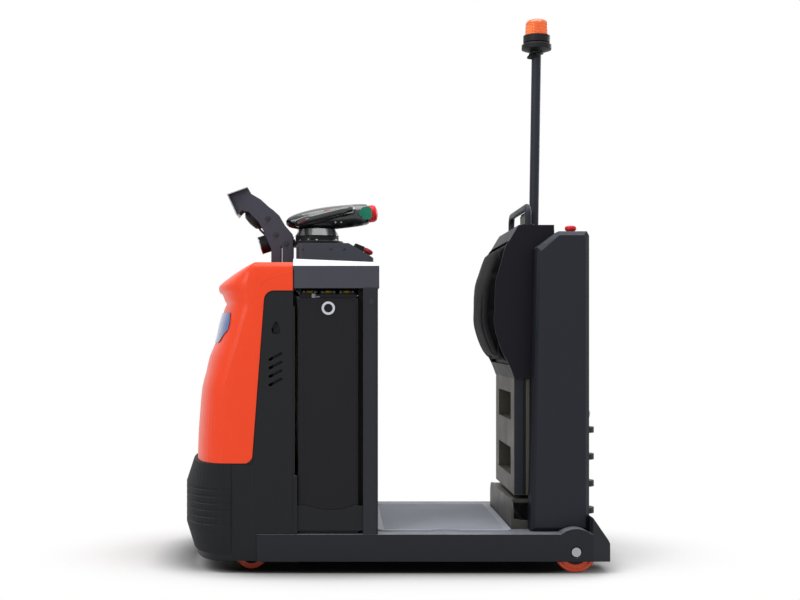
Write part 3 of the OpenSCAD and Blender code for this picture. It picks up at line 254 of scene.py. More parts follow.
def cap_screw(size):
    """A button-head screw with its hexagon socket."""
    return lathe([(size * 0.3, 0), (size * 0.95, 0), (size * 0.97, size * 0.14),
                  (size * 0.86, size * 0.38), (size * 0.6, size * 0.52), (size * 0.4, size * 0.55),
                  (size * 0.36, size * 0.5), (size * 0.34, size * 0.2)], 24)


def corners_of(node):
    """Lowest and highest corner of a CAD node as vectors."""
    low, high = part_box(node)
    return Vector(low), Vector(high)


def span(node):
    """Lowest and highest corner of a CAD node in millimetres."""
    return [corner / MM for corner in corners_of(node)]


def touch(node, origin, direction):
    """Where a line given in millimetres meets a CAD node, and the surface's normal there."""
    obj = frame["nodes"][node]
    back = obj.matrix_world.inverted()
    start = back @ (Vector(origin) * MM)
    hit, place, normal, _ = obj.ray_cast(start, (back.to_3x3() @ Vector(direction)).normalized())
    if not hit:
        raise RuntimeError("no surface of " + node + " on that line")
    return obj.matrix_world @ place / MM, (obj.matrix_world.to_3x3() @ normal).normalized()


def slab(outline, near, far):
    """A flat outline of (x, z) that spans from one Y to another."""
    points, faces = prism(outline, near, far)
    return [(x, y, z) for x, z, y in points], faces


def sheet(x, z, radius):
    """The outline of a rectangle with round corners between two X and two Z."""
    return [((x[0] + x[1]) / 2 + px, (z[0] + z[1]) / 2 + pz)
            for px, pz in rounded(x[1] - x[0], z[1] - z[0], radius)]


def nose_line(depth, half, height, start):
    """A line round the nose at one height, from one side of the hood to the other."""
    root, power, steps = -535, 2 / 2.7, 36
    line = [(start, -half, height)]
    for k in range(steps + 1):
        turn = math.radians(180 * k / steps - 90)
        wide = math.copysign(abs(math.sin(turn)) ** power, turn)
        line.append((root - depth * max(math.cos(turn), 0) ** power, half * wide, height))
    return line + [(start, half, height)]


def dash_frame(share):
    """The matrix that stands on the dashboard's sloping face, at a share of its length."""
    high = span("dash_panel")[1]
    crest_x, drop_share = -155.8, 0.78
    foot_z = high.z - (high.z - span("console_cover")[1].z) * drop_share
    head, foot = Vector((crest_x, 0, high.z)), Vector((high.x, 0, foot_z))
    slope = math.atan2(head.z - foot.z, foot.x - head.x)
    return Matrix.Translation(head.lerp(foot, share)) @ Matrix.Rotation(slope, 4, "Y")


class Fitting(Shape):
    """A piece drawn in millimetres."""

    def put(self, form, matrix=None):
        """Adds a form in millimetres, moved by a matrix in millimetres."""
        return super().put(form, Matrix.Scale(MM, 4) @ (matrix or Matrix.Identity(4)))

    def screw(self, size, node, origin, direction):
        """Stands a button-head screw where a line meets a CAD node."""
        place, normal = touch(node, origin, direction)
        self.put(cap_screw(size), facing(place, normal))


# Materials

def add(tree, kind, inputs=None, **settings):
    """Adds one shader node, sets its properties and fills or links its inputs."""
    node = tree.nodes.new("ShaderNode" + kind)
    for name, value in settings.items():
        setattr(node, name, value)
    for name, value in (inputs or {}).items():
        if isinstance(value, bpy.types.NodeSocket):
            tree.links.new(value, node.inputs[name])
        else:
            node.inputs[name].default_value = value
    return node


def per_metre(millimetres):
    """The texture scale whose pattern repeats at a real size."""
    return 1 / (millimetres * MM)


def shaded(colour, factor):
    """A colour made lighter or darker, with full alpha."""
    return tuple(min(c * factor, 1) for c in colour) + (1,)


def opaque(hex_text):
    """The linear colour of a hex value, with full alpha."""
    return linear(hex_text) + (1,)


def blend(tree, share, base, other):
    """The tone between two colours."""
    return add(tree, "Mix", {0: share, 6: base, 7: other}, data_type="RGBA").outputs[2]


def times(tree, one, other):
    """The product of two values."""
    return add(tree, "Math", {0: one, 1: other}, operation="MULTIPLY").outputs[0]


def ramp(tree, value, start, end, low=0.0, high=1.0):
    """A value between two bounds, carried over to another pair of bounds."""
    return add(tree, "MapRange", {0: value, 1: start, 2: end, 3: low, 4: high}).outputs[0]


def speckle(tree, place, size, detail, roughness=0.5):
    """Noise whose patches have a real size in millimetres."""
    return add(tree, "TexNoise", {"Vector": place, "Scale": per_metre(size), "Detail": detail,
                                  "Roughness": roughness}).outputs[0]


def upward(tree):
    """How far the surface faces up, from 0 at a wall to 1 on a level."""
    return add(tree, "SeparateXYZ", {0: add(tree, "NewGeometry").outputs["Normal"]}).outputs[2]


def blank(name):
    """A new material with an empty tree, and the tree's place on the object."""
    made = bpy.data.materials.new(name)
    made.use_nodes = True
    made.node_tree.nodes.clear()
    return made, made.node_tree, add(made.node_tree, "TexCoord").outputs["Object"]


# Sizes of patches in millimetres, and the slope from which dust and painted highlight lie
DUST_AND_HIGHLIGHT_PATCH, WEAR_PATCH, LENS_PATCH, LENS_GRAIN = 22, 9, 40, 3
DUST_AND_HIGHLIGHT_SLOPE = 0.35
# How far dust and painted highlight thin out and gather, and how far roughness spreads round its
# middle
DUST_AND_HIGHLIGHT_THIN, DUST_AND_HIGHLIGHT_GATHER, SMOOTHER, ROUGHER = 0.65, 0.3, 0.07, 0.09
# Rays that round an edge, and the roughness of clear lacquer
EDGE_SAMPLES, LACQUER_ROUGHNESS = 4, 0.12
# Tones of a lens's patches, and the depth of its grain in millimetres
LENS_TONES, LENS_RELIEF = (0.86, 1.12), 0.03
# A wave texture of scale 1 repeats at this length
WAVE_REPEAT = math.pi / 10


def material(name, colour, roughness, metallic=0.0, specular=0.5, ior=1.5, coat=0.0, grain=1.5,
             relief=0.04, mottle=0.08, mottle_size=160, streak=1.0, dust=0.12, dust_colour="9A9690",
             wear=0.0, wear_colour="8C8E92", wear_size=1.6, edge=1.2, patchy=1.0, extra=None):
    """A finish with uneven tone, fine grain, a paler tone on its upper sides that is dust on some
    finishes and a painted highlight on others, and worn edges.

    grain and mottle_size are real sizes in millimetres, relief is the depth of the grain in
    millimetres, patchy is how unevenly the dust and the painted highlight lie, and extra may add
    a pattern of its own to the tone and the height.
    """
    made, tree, place = blank(name)
    drawn = add(tree, "Mapping", {"Vector": place, "Scale": (1, 1, streak)}).outputs[0]
    patches = speckle(tree, place, mottle_size, 6, 0.65)
    tone = blend(tree, patches, shaded(colour, 1 - mottle * 2), shaded(colour, 1 + mottle * 2))
    height = times(tree, speckle(tree, drawn, grain, 4, 0.6), relief * MM)
    if extra:
        tone, height = extra(tree, place, tone, height)
    # Paler tone on upward faces: dust on some finishes, a painted highlight on others
    if dust:
        level = ramp(tree, upward(tree), DUST_AND_HIGHLIGHT_SLOPE, 1, 0, dust)
        spread = ramp(tree, speckle(tree, place, DUST_AND_HIGHLIGHT_PATCH, 8, 0.7), 0.3, 0.75,
                      1 - DUST_AND_HIGHLIGHT_THIN * patchy, 1 + DUST_AND_HIGHLIGHT_GATHER * patchy)
        tone = blend(tree, times(tree, level, spread), tone, opaque(dust_colour))
    rough = ramp(tree, patches, 0.3, 0.7, max(roughness - SMOOTHER, 0.02),
                 min(roughness + ROUGHER, 1))
    bump = add(tree, "Bump", {"Height": height, "Strength": 1.0, "Distance": 1.0})
    if edge:
        rim = add(tree, "Bevel", {"Radius": edge * MM}, samples=EDGE_SAMPLES).outputs[0]
        tree.links.new(rim, bump.inputs["Normal"])
    if wear:
        round_edge = add(tree, "Bevel", {"Radius": wear_size * MM}, samples=EDGE_SAMPLES).outputs[0]
        true = add(tree, "NewGeometry").outputs["True Normal"]
        flat = add(tree, "VectorMath", {0: round_edge, 1: true}, operation="DOT_PRODUCT")
        near = ramp(tree, flat.outputs[1], 0.97, 0.8, 0, wear)
        rub = ramp(tree, speckle(tree, place, WEAR_PATCH, 8, 0.75), 0.45, 0.62)
        tone = blend(tree, times(tree, near, rub), tone, opaque(wear_colour))
    shader = add(tree, "BsdfPrincipled", {
        "Base Color": tone, "Roughness": rough, "Normal": bump.outputs[0], "Metallic": metallic,
        "IOR": ior, "Specular IOR Level": specular, "Coat Weight": coat,
        "Coat Roughness": LACQUER_ROUGHNESS})
    add(tree, "OutputMaterial", {"Surface": shader.outputs[0]})
    return made


def clear_plastic(name, colour, roughness, transmission, flutes=None):
    """A tinted lens, clear or not, with a moulded pattern of ribs where it has one."""
    made, tree, place = blank(name)
    patches = speckle(tree, place, LENS_PATCH, 5)
    tone = blend(tree, patches, *(shaded(colour, factor) for factor in LENS_TONES))
    height = times(tree, speckle(tree, place, LENS_GRAIN, 3), LENS_RELIEF * MM)
    if flutes:
        height = flutes(tree, place, height)
    bump = add(tree, "Bump", {"Height": height, "Strength": 1.0, "Distance": 1.0})
    rough = ramp(tree, patches, 0.3, 0.7, roughness * 0.7, roughness * 1.4)
    shader = add(tree, "BsdfPrincipled", {
        "Base Color": tone, "Roughness": rough, "Normal": bump.outputs[0], "IOR": 1.49,
        "Transmission Weight": transmission, "Coat Weight": 0.3, "Coat Roughness": 0.05})
    add(tree, "OutputMaterial", {"Surface": shader.outputs[0]})
    return made


def ribs_of(pitch, depth, axis):
    """A height pattern of straight moulded ribs at a real pitch and depth."""
    def pattern(tree, place, height):
        wave = add(tree, "TexWave", {"Vector": place, "Scale": per_metre(pitch) * WAVE_REPEAT},
                   bands_direction=axis)
        ridge = times(tree, wave.outputs[1], depth * MM)
        return add(tree, "Math", {0: ridge, 1: height}, operation="ADD").outputs[0]
    return pattern


def pebbles(size, depth):
    """Leather-like grain: flat pebbles between fine creases, darkened by painted shade."""
    def pattern(tree, place, tone, height):
        cells = add(tree, "TexVoronoi", {"Vector": place, "Scale": per_metre(size)},
                    feature="DISTANCE_TO_EDGE").outputs[0]
        crease = ramp(tree, cells, 0, 0.16, 0, depth * MM)
        high = add(tree, "Math", {0: crease, 1: height}, operation="ADD").outputs[0]
        # Creases darkened towards black: painted shade in the grain's creases
        return blend(tree, ramp(tree, cells, 0, 0.12, 0.72, 0), tone, (0, 0, 0, 1)), high
    return pattern


def scuffs(colour, density):
    """Scratches drawn along the direction of travel."""
    def pattern(tree, place, tone, height):
        long = add(tree, "Mapping", {"Vector": place, "Scale": (0.06, 1, 1)}).outputs[0]
        thin = ramp(tree, speckle(tree, long, 2.5, 3, 0.8), 0.66, 0.74, 0, density)
        return blend(tree, thin, tone, opaque(colour)), height
    return pattern


def painted_slope_highlight(colour):
    """A painted highlight: a pale tone on surfaces that slope, fainter on level ones."""
    def pattern(tree, place, tone, height):
        up = upward(tree)
        share = times(tree, ramp(tree, up, 0.35, 0.65), ramp(tree, up, 0.85, 0.98, 1, 0.35))
        return blend(tree, share, tone, opaque(colour)), height
    return pattern


def powder_coat(name, colour, **settings):
    """Powder-coated steel: a satin skin with a fine orange peel, scuffed at its edges."""
    values = {"roughness": 0.46, "specular": 0.2, "grain": 1.4, "relief": 0.06, "wear": 0.3,
              "mottle": 0.07, "dust": 0.1}
    values.update(settings)
    return material(name, colour, **values)


def moulded(name, colour, **settings):
    """Moulded ABS: a spark-eroded grain that breaks up the light."""
    values = {"roughness": 0.5, "specular": 0.22, "grain": 0.9, "relief": 0.08, "mottle": 0.05,
              "dust": 0.12}
    values.update(settings)
    return material(name, colour, **values)


def steel(name, hex_text, **settings):
    """Bare or plated steel: bright, with a drawn grain."""
    values = {"roughness": 0.32, "metallic": 1.0, "grain": 0.8, "relief": 0.02, "streak": 0.05,
              "mottle": 0.1, "mottle_size": 30, "dust": 0.05}
    values.update(settings)
    return material(name, linear(hex_text), **values)


def rubber(name, colour, **settings):
    """Moulded rubber: dull, with a bloom that greys its upper sides."""
    values = {"roughness": 0.72, "specular": 0.2, "ior": 1.52, "grain": 1.1, "relief": 0.08,
              "mottle": 0.09, "dust": 0.2}
    values.update(settings)
    return material(name, colour, **values)


def make_materials():
    """All finishes by name."""
    c = colours()
    made = [
        # Gloss two-pack paint on a moulded hood: deep colour, soft reflections, faint orange peel
        material("Gloss_hood_paint", c.hood, 0.36, specular=0.22, coat=0.12, grain=3.5,
                 relief=0.03, mottle=0.03, mottle_size=420, dust=0.04, edge=3),
        # Powder coat with a fine texture: dark slate, dull sheen
        powder_coat("Panel_powder_coat", c.panels, edge=2),
        # Powder coat on folded sheet: bluish slate with bright worn folds; its upward faces and
        # chamfers are painted a paler blue-grey as a painted highlight
        powder_coat("Column_powder_coat", c.column, edge=3, dust=0.3, dust_colour="6F7683",
                    wear=0.15),
        # Powder coat of the rails, scuffed along the direction of travel; its upward faces and top
        # edges are painted lighter, partly dust and partly a painted highlight
        powder_coat("Frame_powder_coat", c.frame, extra=scuffs("5E6166", 0.4), edge=2.5, dust=0.6,
                    dust_colour="A4A8B2", patchy=0.5),
        # Powder coat of hidden parts: near black, dulled by dust
        powder_coat("Inner_powder_coat", linear("17181B"), dust=0.3, wear=0.0, edge=0),
        # Battery tray paint: flat black with acid haze
        powder_coat("Battery_tray_paint", linear("131217"), roughness=0.5, mottle=0.14,
                    mottle_size=90, dust=0.05),
        # Powder coat of the console's posts: satin dark slate
        powder_coat("Post_powder_coat", linear("26272D"), edge=3),
        # Coat of the guard's arms: blue-grey, scuffed at the edges
        powder_coat("Guard_powder_coat", linear("3C3E49"), edge=1.5, wear=0.45),
        # Bent kick plate: grey coat rubbed by shoes
        powder_coat("Kick_plate_coat", linear("44443F"), edge=3, wear=0.4, dust=0.3),
        # Painted sand casting: the coarse skin shows through the paint
        powder_coat("Painted_cast_iron", linear("26282C"), grain=3, relief=0.35, roughness=0.55,
                    dust=0.18, edge=2.5),
        # Machined cast iron of the drive: dull grey with a fine lay
        steel("Machined_cast_iron", "5B5E63", roughness=0.5, relief=0.05),
        # Moulded grey ABS of the console cover: fine grain, with a painted highlight that makes it
        # pale where it slopes
        moulded("Grained_grey_ABS", c.cover, roughness=0.4, specular=0.35, dust=0.2, edge=4,
                extra=painted_slope_highlight("E6E7EB")),
        # Moulded black ABS of lamps, bezels and lids: a fine even grain
        moulded("Grained_black_ABS", linear("0E0F12"), edge=2, dust=0.06),
        # Moulded ABS of the dashboard: the same grain in slate
        moulded("Grained_slate_ABS", linear("3B3D45"), edge=3, dust=0.2),
        # Moulded shell of the backrest: dark with a purple cast, soft grain; its upward faces are
        # painted a paler purple-grey as a painted highlight
        moulded("Grained_shell_ABS", c.shell, roughness=0.5, specular=0.12, dust=0.25,
                dust_colour="8E8C99", edge=3),
        # Moulded trim under the backrest: dark plastic painted beige as a painted highlight of the
        # lamp on its face, with leathery grain
        moulded("Grained_ABS_painted_lit_beige", c.painted_lit_trim, roughness=0.5, dust=0.1, extra=pebbles(2.2, 0.05)),
        # Powder coat of mast, grab bar and side strips: satin, dark slate
        powder_coat("Slate_side_coat", linear("22262E"), edge=1),
        # Coated fabric of the cushion: black with a soft shine and pebbled grain, its pebbles
        # drawn at 2 mm so that they show
        material("Coated_upholstery_fabric", c.cushion, 0.6, specular=0.05, grain=0.7, relief=0.03,
                 mottle=0.08, dust=0.05, edge=0, extra=pebbles(2.0, 0.06)),
        # Polyester thread: a grey that just stands off the black cover
        material("Sewing_thread", linear("3A3840"), 0.7, grain=0.4, relief=0.05, edge=0, dust=0),
        # Ribbed floor rubber: grey, walked on; its upward faces are painted paler, partly dust and
        # partly a painted highlight
        rubber("Ribbed_floor_rubber", c.mat, dust=0.35, dust_colour="B4B4B8", edge=0.8),
        # Bumper rubber: near black, scuffed lighter where it meets things
        rubber("Bumper_rubber", linear("1A1B1E"), wear=0.5, wear_colour="3C3D40", edge=2.5),
        # Extruded rubber of gaskets and cables: soft black
        rubber("Gasket_rubber", linear("0F0F11"), dust=0.04, edge=0),
        # Cast polyurethane tread: orange, slightly waxy, dirty in its pores
        material("Cast_polyurethane_tread", c.tyre, 0.38, specular=0.5, ior=1.48, grain=2.5,
                 relief=0.03, mottle=0.08, mottle_size=18, dust=0.1, edge=1.5),
        # Moulded nylon of wheel centres, rockers and clips: satin black
        moulded("Nylon_wheel_centre", linear("141416"), roughness=0.45),
        # Solid rubber of the drive tyre: dull, with floor dust
        rubber("Solid_drive_tyre", linear("1A1A1B"), dust=0.2, edge=2),
        # Glossy moulded head: green-black, its upper sides painted a lighter grey as a painted
        # highlight, with a little dust
        moulded("Gloss_head_PA", linear("0C1312"), roughness=0.2, specular=0.5, relief=0.015,
                coat=0.6, edge=2, dust=0.45, dust_colour="8B888E", patchy=0.4),
        # Moulded throttle wings: mid green, with a soft shine
        moulded("Moulded_green_PA", c.throttle, roughness=0.3, relief=0.02, dust=0.02, edge=1.5),
        # Moulded red nylon of buttons: smooth and a little glossy
        moulded("Moulded_red_PA", c.button, roughness=0.28, relief=0.015, dust=0.02, edge=1.5),
        # Moulded dark red nylon of the dash button: smooth
        moulded("Moulded_dark_red_PA", linear("8E1B20"), roughness=0.3, relief=0.015, dust=0.05),
        # Moulded yellow plastic of the vent caps: satin
        moulded("Moulded_vent_yellow", linear("A88A1E"), roughness=0.4, dust=0.1),
        # Moulded pale nylon of caps and rings: smooth, slightly milky
        moulded("Moulded_white_nylon", linear("C2C3CB"), roughness=0.4, dust=0.03, edge=1),
        # Galvanised sheet of the guard's visor, greyed by weather
        steel("Galvanised_sheet", "A6A8AA", roughness=0.42, mottle=0.16, mottle_size=24, edge=2),
        # Zinc-plated steel of screws and forks: bright with a bluish cast
        steel("Zinc_plated_steel", "C2C4C8", roughness=0.28, edge=0.6),
        # Blackened bolts: dark oxide with a faint shine
        steel("Blackened_steel", "3A3B40", roughness=0.4, edge=0.6),
        # Ground steel of pin and axles: bright, with a fine lay
        steel("Ground_steel", "9FA2A6", roughness=0.25),
        # Cast lead of links and clamps: soft dull grey
        steel("Cast_lead", "77797D", roughness=0.5, streak=1, relief=0.06),
        # Aluminised reflector: mirror-bright
        steel("Aluminised_reflector", "E4E6E8", roughness=0.08, relief=0.0, mottle=0.02, dust=0),
        # Display glass over a dark liquid-crystal panel
        material("Display_glass", linear("0C1210"), 0.08, specular=0.5, coat=0.5, relief=0.0,
                 dust=0.03, edge=0),
        # Printed segments of the display: pale green, flat
        material("Display_segment", linear("9DB8A6"), 0.4, relief=0.0, dust=0, edge=0),
    ]
    made += [
        # Blue acrylic lens with vertical flutes 12 mm apart
        clear_plastic("Fluted_blue_acrylic", c.lens, 0.16, 0.0, ribs_of(12, 0.25, "Y")),
        # Moulded orange polycarbonate of the beacon, with rings 10 mm apart
        clear_plastic("Tinted_orange_polycarbonate", c.beacon, 0.14, 0.4, ribs_of(10, 0.4, "Z")),
        # Amber glass of the lamp inside the beacon: clear and warm
        clear_plastic("Amber_lamp_glass", linear("FFB040"), 0.1, 0.3),
        # Pressed glass of the headlamp: clear, with bars 10 mm apart
        clear_plastic("Patterned_lamp_glass", linear("F2F6F8"), 0.06, 0.9, ribs_of(10, 0.3, "Y")),
    ]
    return {m.name: m for m in made}


NODE_FINISH = {
    "Gloss_hood_paint": ["hood"],
    "Panel_powder_coat": ["front_skirt", "left_side_panel", "right_side_panel", "left_keeper",
                          "right_keeper"],
    "Post_powder_coat": ["console_posts"],
    "Guard_powder_coat": ["guard_arms"],
    "Kick_plate_coat": ["kick_plate"],
    "Column_powder_coat": ["column_left_cover", "column_right_cover", "column_rear_panel"],
    "Frame_powder_coat": ["left_rail", "right_rail", "platform_floor"],
    "Inner_powder_coat": ["under_beams", "drive_frame", "bay_wall", "column_frame"],
    "Battery_tray_paint": ["battery_case"],
    "Painted_cast_iron": ["tail_blocks", "tow_coupling", "drive_housing"],
    "Machined_cast_iron": ["drive_hub", "drive_motor"],
    "Grained_grey_ABS": ["console_cover"],
    "Grained_black_ABS": ["display_unit", "steering_base", "work_lamp", "beacon_base",
                          "headlamp_body"],
    "Grained_slate_ABS": ["dash_panel"],
    "Grained_shell_ABS": ["backrest_shell"],
    # The lower panel is a dark moulding painted beige as a painted highlight
    "Grained_ABS_painted_lit_beige": ["lower_panel"],
    "Ribbed_floor_rubber": ["floor_mat"],
    "Bumper_rubber": ["front_bumper"],
    "Cast_polyurethane_tread": ["left_caster_wheel", "right_caster_wheel", "left_rear_wheel",
                                "right_rear_wheel"],
    "Solid_drive_tyre": ["drive_tyre"],
    "Gloss_head_PA": ["steering_head"],
    "Moulded_green_PA": ["throttle"],
    "Moulded_red_PA": ["belly_button", "column_stop_button"],
    "Moulded_dark_red_PA": ["dash_stop_button"],
    "Moulded_white_nylon": ["battery_rings"],
    "Slate_side_coat": ["grab_bar", "mast"],
    "Galvanised_sheet": ["guard_visor"],
    "Blackened_steel": ["fasteners"],
    "Zinc_plated_steel": ["key_switch", "left_caster_fork", "right_caster_fork"],
    "Ground_steel": ["tow_pin", "rear_axle"],
    "Fluted_blue_acrylic": ["nose_lens"],
    "Tinted_orange_polycarbonate": ["beacon_lens"],
    "Patterned_lamp_glass": ["headlamp_lens"],
}


def finish(name):
    """A finish that the first operator made."""
    return bpy.data.materials[name]


class TRACTOR_OT_finishes(bpy.types.Operator):
    """Gives every CAD node its finish"""

    bl_idname = "tractor.finishes"
    bl_label = "Finishes"

    def execute(self, context):
        made = make_materials()
        for name, nodes in NODE_FINISH.items():
            for node in nodes:
                obj = frame["nodes"][node]
                obj.data.materials.clear()
                obj.data.materials.append(made[name])
        bare = [n for n, o in frame["nodes"].items()
                if n != "backrest_cushion" and o.data.materials[0] not in made.values()]
        if bare:
            raise RuntimeError("nodes without a finish: " + ", ".join(bare))
        return {"FINISHED"}


# The cushion's cover before it swells: its share of the CAD cushion, and its front's setback
TUCK, SETBACK = 0.985, 0.006
# Cloth: pressure of the padding and number of frames
PRESSURE, FRAMES = 4, 20
# The seam round the front: its distance from the outline and the radius of its corners
SEAM_INSET, SEAM_TURN = 0.024, 0.06
# How deep and how wide a seam and a channel are drawn in, and how far the wrinkles reach
SEAM_PULL, SEAM_WIDTH = 0.0042, 0.0042
CHANNEL_PULL, CHANNEL_WIDTH = 0.0045, 0.004
WRINKLE_PULL, WRINKLE_REACH, WRINKLE_DENSITY, WRINKLE_PLANE = 0.0012, 0.03, 60, 3.1
# Channels: share of the half width, share of the height where they end, and how fast
CHANNEL_AT, CHANNEL_TOP, CHANNEL_FADE = 0.55, 0.62, 6
# Depth over which the sewing fades out towards the cushion's back
BACKING = 0.02
# Stitch rows: inset and corner radius of the round one, gap beside a channel, share of a
# stitch that is thread, ends of the straight rows, then the thread's lift, arch and radii
ROW_INSET, ROW_TURN, ROW_GAP, THREAD_SHARE = 0.034, 0.066, 0.006, 0.7
ROW_FOOT, ROW_TOP = 0.03, 0.58
THREAD_LIFT, THREAD_ARCH, THREAD_RADII = 0.0003, 0.0004, [0.0003, 0.0006, 0.0003]
# Welt: inset and corner radius, spacing of its points, how it looks for the cover's edge
WELT_INSET, WELT_TURN, WELT_SPACING = 0.004, 0.02, 0.012
WELT_TRIES, WELT_STEP, WELT_AVERAGE = 80, 0.002, 4


class TRACTOR_OT_cushion(bpy.types.Operator):
    """Pads and sews the backrest cushion"""

    bl_idname = "tractor.cushion"
    bl_label = "Backrest cushion"

    def execute(self, context):
        low, high = corners_of("backrest_cushion")
        node = frame["nodes"]["backrest_cushion"]
        pad = bpy.data.objects.new("padded_cushion", node.data.copy())
        context.scene.collection.objects.link(pad)
        pad.data.materials.clear()
        pad.data.materials.append(finish("Coated_upholstery_fabric"))
        middle = (low + high) / 2
        for v in pad.data.vertices:
            v.co.y = middle.y + (v.co.y - middle.y) * TUCK
            v.co.z = middle.z + (v.co.z - middle.z) * TUCK
            v.co.x += SETBACK * (high.x - v.co.x) / (high.x - low.x)
        remesh = pad.modifiers.new("Remesh", "REMESH")
        remesh.mode = "VOXEL"
        remesh.voxel_size = sizes().voxel
        self.apply(context, pad)
        rest = [v.co.copy() for v in pad.data.vertices]
        self.inflate(context, pad)
        reach = sizes().swell
        for v, start in zip(pad.data.vertices, rest):
            step = v.co - start
            if step.length > reach:
                step *= reach / step.length
            v.co = start + step
            v.co.x = min(v.co.x, high.x)
            v.co.y = min(max(v.co.y, low.y + MM), high.y - MM)
            v.co.z = min(max(v.co.z, low.z + MM), high.z - MM)
        soft = pad.modifiers.new("Smooth", "SUBSURF")
        soft.levels = soft.render_levels = 1
        self.apply(context, pad)
        self.sew(pad, low, high)
        pad.data.polygons.foreach_set("use_smooth", [True] * len(pad.data.polygons))
        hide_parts("backrest_cushion")
        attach(pad, "chassis")
        self.stitches(pad, low, high)
        return {"FINISHED"}

    @staticmethod
    def apply(context, obj):
        """Replaces the mesh by what its modifiers give."""
        graph = context.evaluated_depsgraph_get()
        mesh = bpy.data.meshes.new_from_object(obj.evaluated_get(graph))
        obj.modifiers.clear()
        obj.data = mesh

    def inflate(self, context, pad):
        """Lets the cover swell over its padding."""
        scene = context.scene
        cloth = pad.modifiers.new("Padding", "CLOTH")
        cloth.settings.use_pressure = True
        cloth.settings.uniform_pressure_force = PRESSURE
        cloth.settings.effector_weights.gravity = 0
        cloth.point_cache.frame_end = FRAMES
        for k in range(1, FRAMES + 1):
            scene.frame_set(k)
        self.apply(context, pad)
        scene.frame_set(1)

    @staticmethod
    def seam_distance(y, z, low, high):
        """Distance from the seam that runs round the cushion's front, in metres."""
        half_y = (high.y - low.y) / 2 - SEAM_INSET - SEAM_TURN
        half_z = (high.z - low.z) / 2 - SEAM_INSET - SEAM_TURN
        dy = abs(y) - half_y
        dz = abs(z - (low.z + high.z) / 2) - half_z
        return math.hypot(max(dy, 0), max(dz, 0)) + min(max(dy, dz), 0) - SEAM_TURN

    def sew(self, pad, low, high):
        """Pulls the seams in and wrinkles the cover beside them."""
        half = (high.y - low.y) / 2
        for v in pad.data.vertices:
            share = (v.co.z - low.z) / (high.z - low.z)
            front = min(max((high.x - v.co.x) / BACKING, 0), 1)
            seam = self.seam_distance(v.co.y, v.co.z, low, high)
            pull = SEAM_PULL * math.exp(-(seam / SEAM_WIDTH) ** 2)
            channel = abs(v.co.y) - half * CHANNEL_AT
            fade = min(max((CHANNEL_TOP - share) * CHANNEL_FADE, 0), 1)
            pull += CHANNEL_PULL * fade * math.exp(-(channel / CHANNEL_WIDTH) ** 2)
            crease = noise.noise(Vector((v.co.y * WRINKLE_DENSITY, v.co.z * WRINKLE_DENSITY,
                                         WRINKLE_PLANE)))
            pull += WRINKLE_PULL * crease * math.exp(-(seam / WRINKLE_REACH) ** 2)
            v.co.x += pull * front

    def stitches(self, pad, low, high):
        """A row of stitches beside each seam, and the welt round the edge."""
        tree = BVHTree.FromPolygons([v.co for v in pad.data.vertices],
                                    [p.vertices[:] for p in pad.data.polygons])

        def front(y, z, lift):
            hit = tree.ray_cast(Vector((low.x - 1, y, z)), Vector((1, 0, 0)))[0]
            return None if hit is None else Vector((hit.x - lift, y, z))

        length = sizes().stitch
        thread = Shape()
        middle = (low.z + high.z) / 2
        wide, tall = high.y - low.y, high.z - low.z
        oval = [(y, z + middle) for y, z in rounded(wide - ROW_INSET, tall - ROW_INSET,
                                                    ROW_TURN, 14)]
        rows = [oval + oval[:1]]
        for side in SIDES:
            y = side * (wide / 2 * CHANNEL_AT + ROW_GAP)
            rows.append([(y, low.z + ROW_FOOT), (y, low.z + tall * ROW_TOP)])
        for row in rows:
            walked = 0.0
            for a, b in zip(row, row[1:]):
                run = math.dist(a, b)
                while walked < run:
                    t0, t1 = walked / run, min(walked + length * THREAD_SHARE, run) / run
                    ends = [front(a[0] + (b[0] - a[0]) * t, a[1] + (b[1] - a[1]) * t, THREAD_LIFT)
                            for t in (t0, (t0 + t1) / 2, t1)]
                    if None not in ends:
                        ends[1].x -= THREAD_ARCH
                        thread.put(tube(ends, THREAD_RADII, 6))
                    walked += length
                walked -= run
        thread.piece("cushion_stitches", "chassis", "backrest_cushion", "Sewing_thread")
        self.welt(front, middle, wide, tall, high.x)

    @staticmethod
    def welt(front, middle, wide, tall, back):
        """A cord of the cover's fabric that follows the edge the cover really has."""
        edge = rounded(wide - WELT_INSET, tall - WELT_INSET, WELT_TURN, 8)
        dense = []
        for a, b in zip(edge, edge[1:] + edge[:1]):
            parts = max(int(math.dist(a, b) / WELT_SPACING), 1)
            dense += [(a[0] + (b[0] - a[0]) * k / parts, a[1] + (b[1] - a[1]) * k / parts)
                      for k in range(parts)]
        rim = []
        for y, z in dense:
            for step in range(WELT_TRIES):
                share = TUCK - step * WELT_STEP
                found = front(y * share, middle + z * share, 0)
                if found:
                    break
            else:
                raise RuntimeError("the welt finds no edge of the cushion")
            rim.append((found.x, share))
        path = []
        for k, (y, z) in enumerate(dense):
            near = [rim[(k + d) % len(rim)] for d in range(-WELT_AVERAGE, WELT_AVERAGE + 1)]
            x, share = (sum(values) / len(near) for values in zip(*near))
            path.append(Vector((min(x, back - WELT_INSET), y * share, middle + z * share)))
        cord = Shape().put(tube(path, sizes().welt / 2, 10, closed=True))
        cord.piece("cushion_welt", "chassis", "backrest_cushion", "Coated_upholstery_fabric",
                   sharp=80)


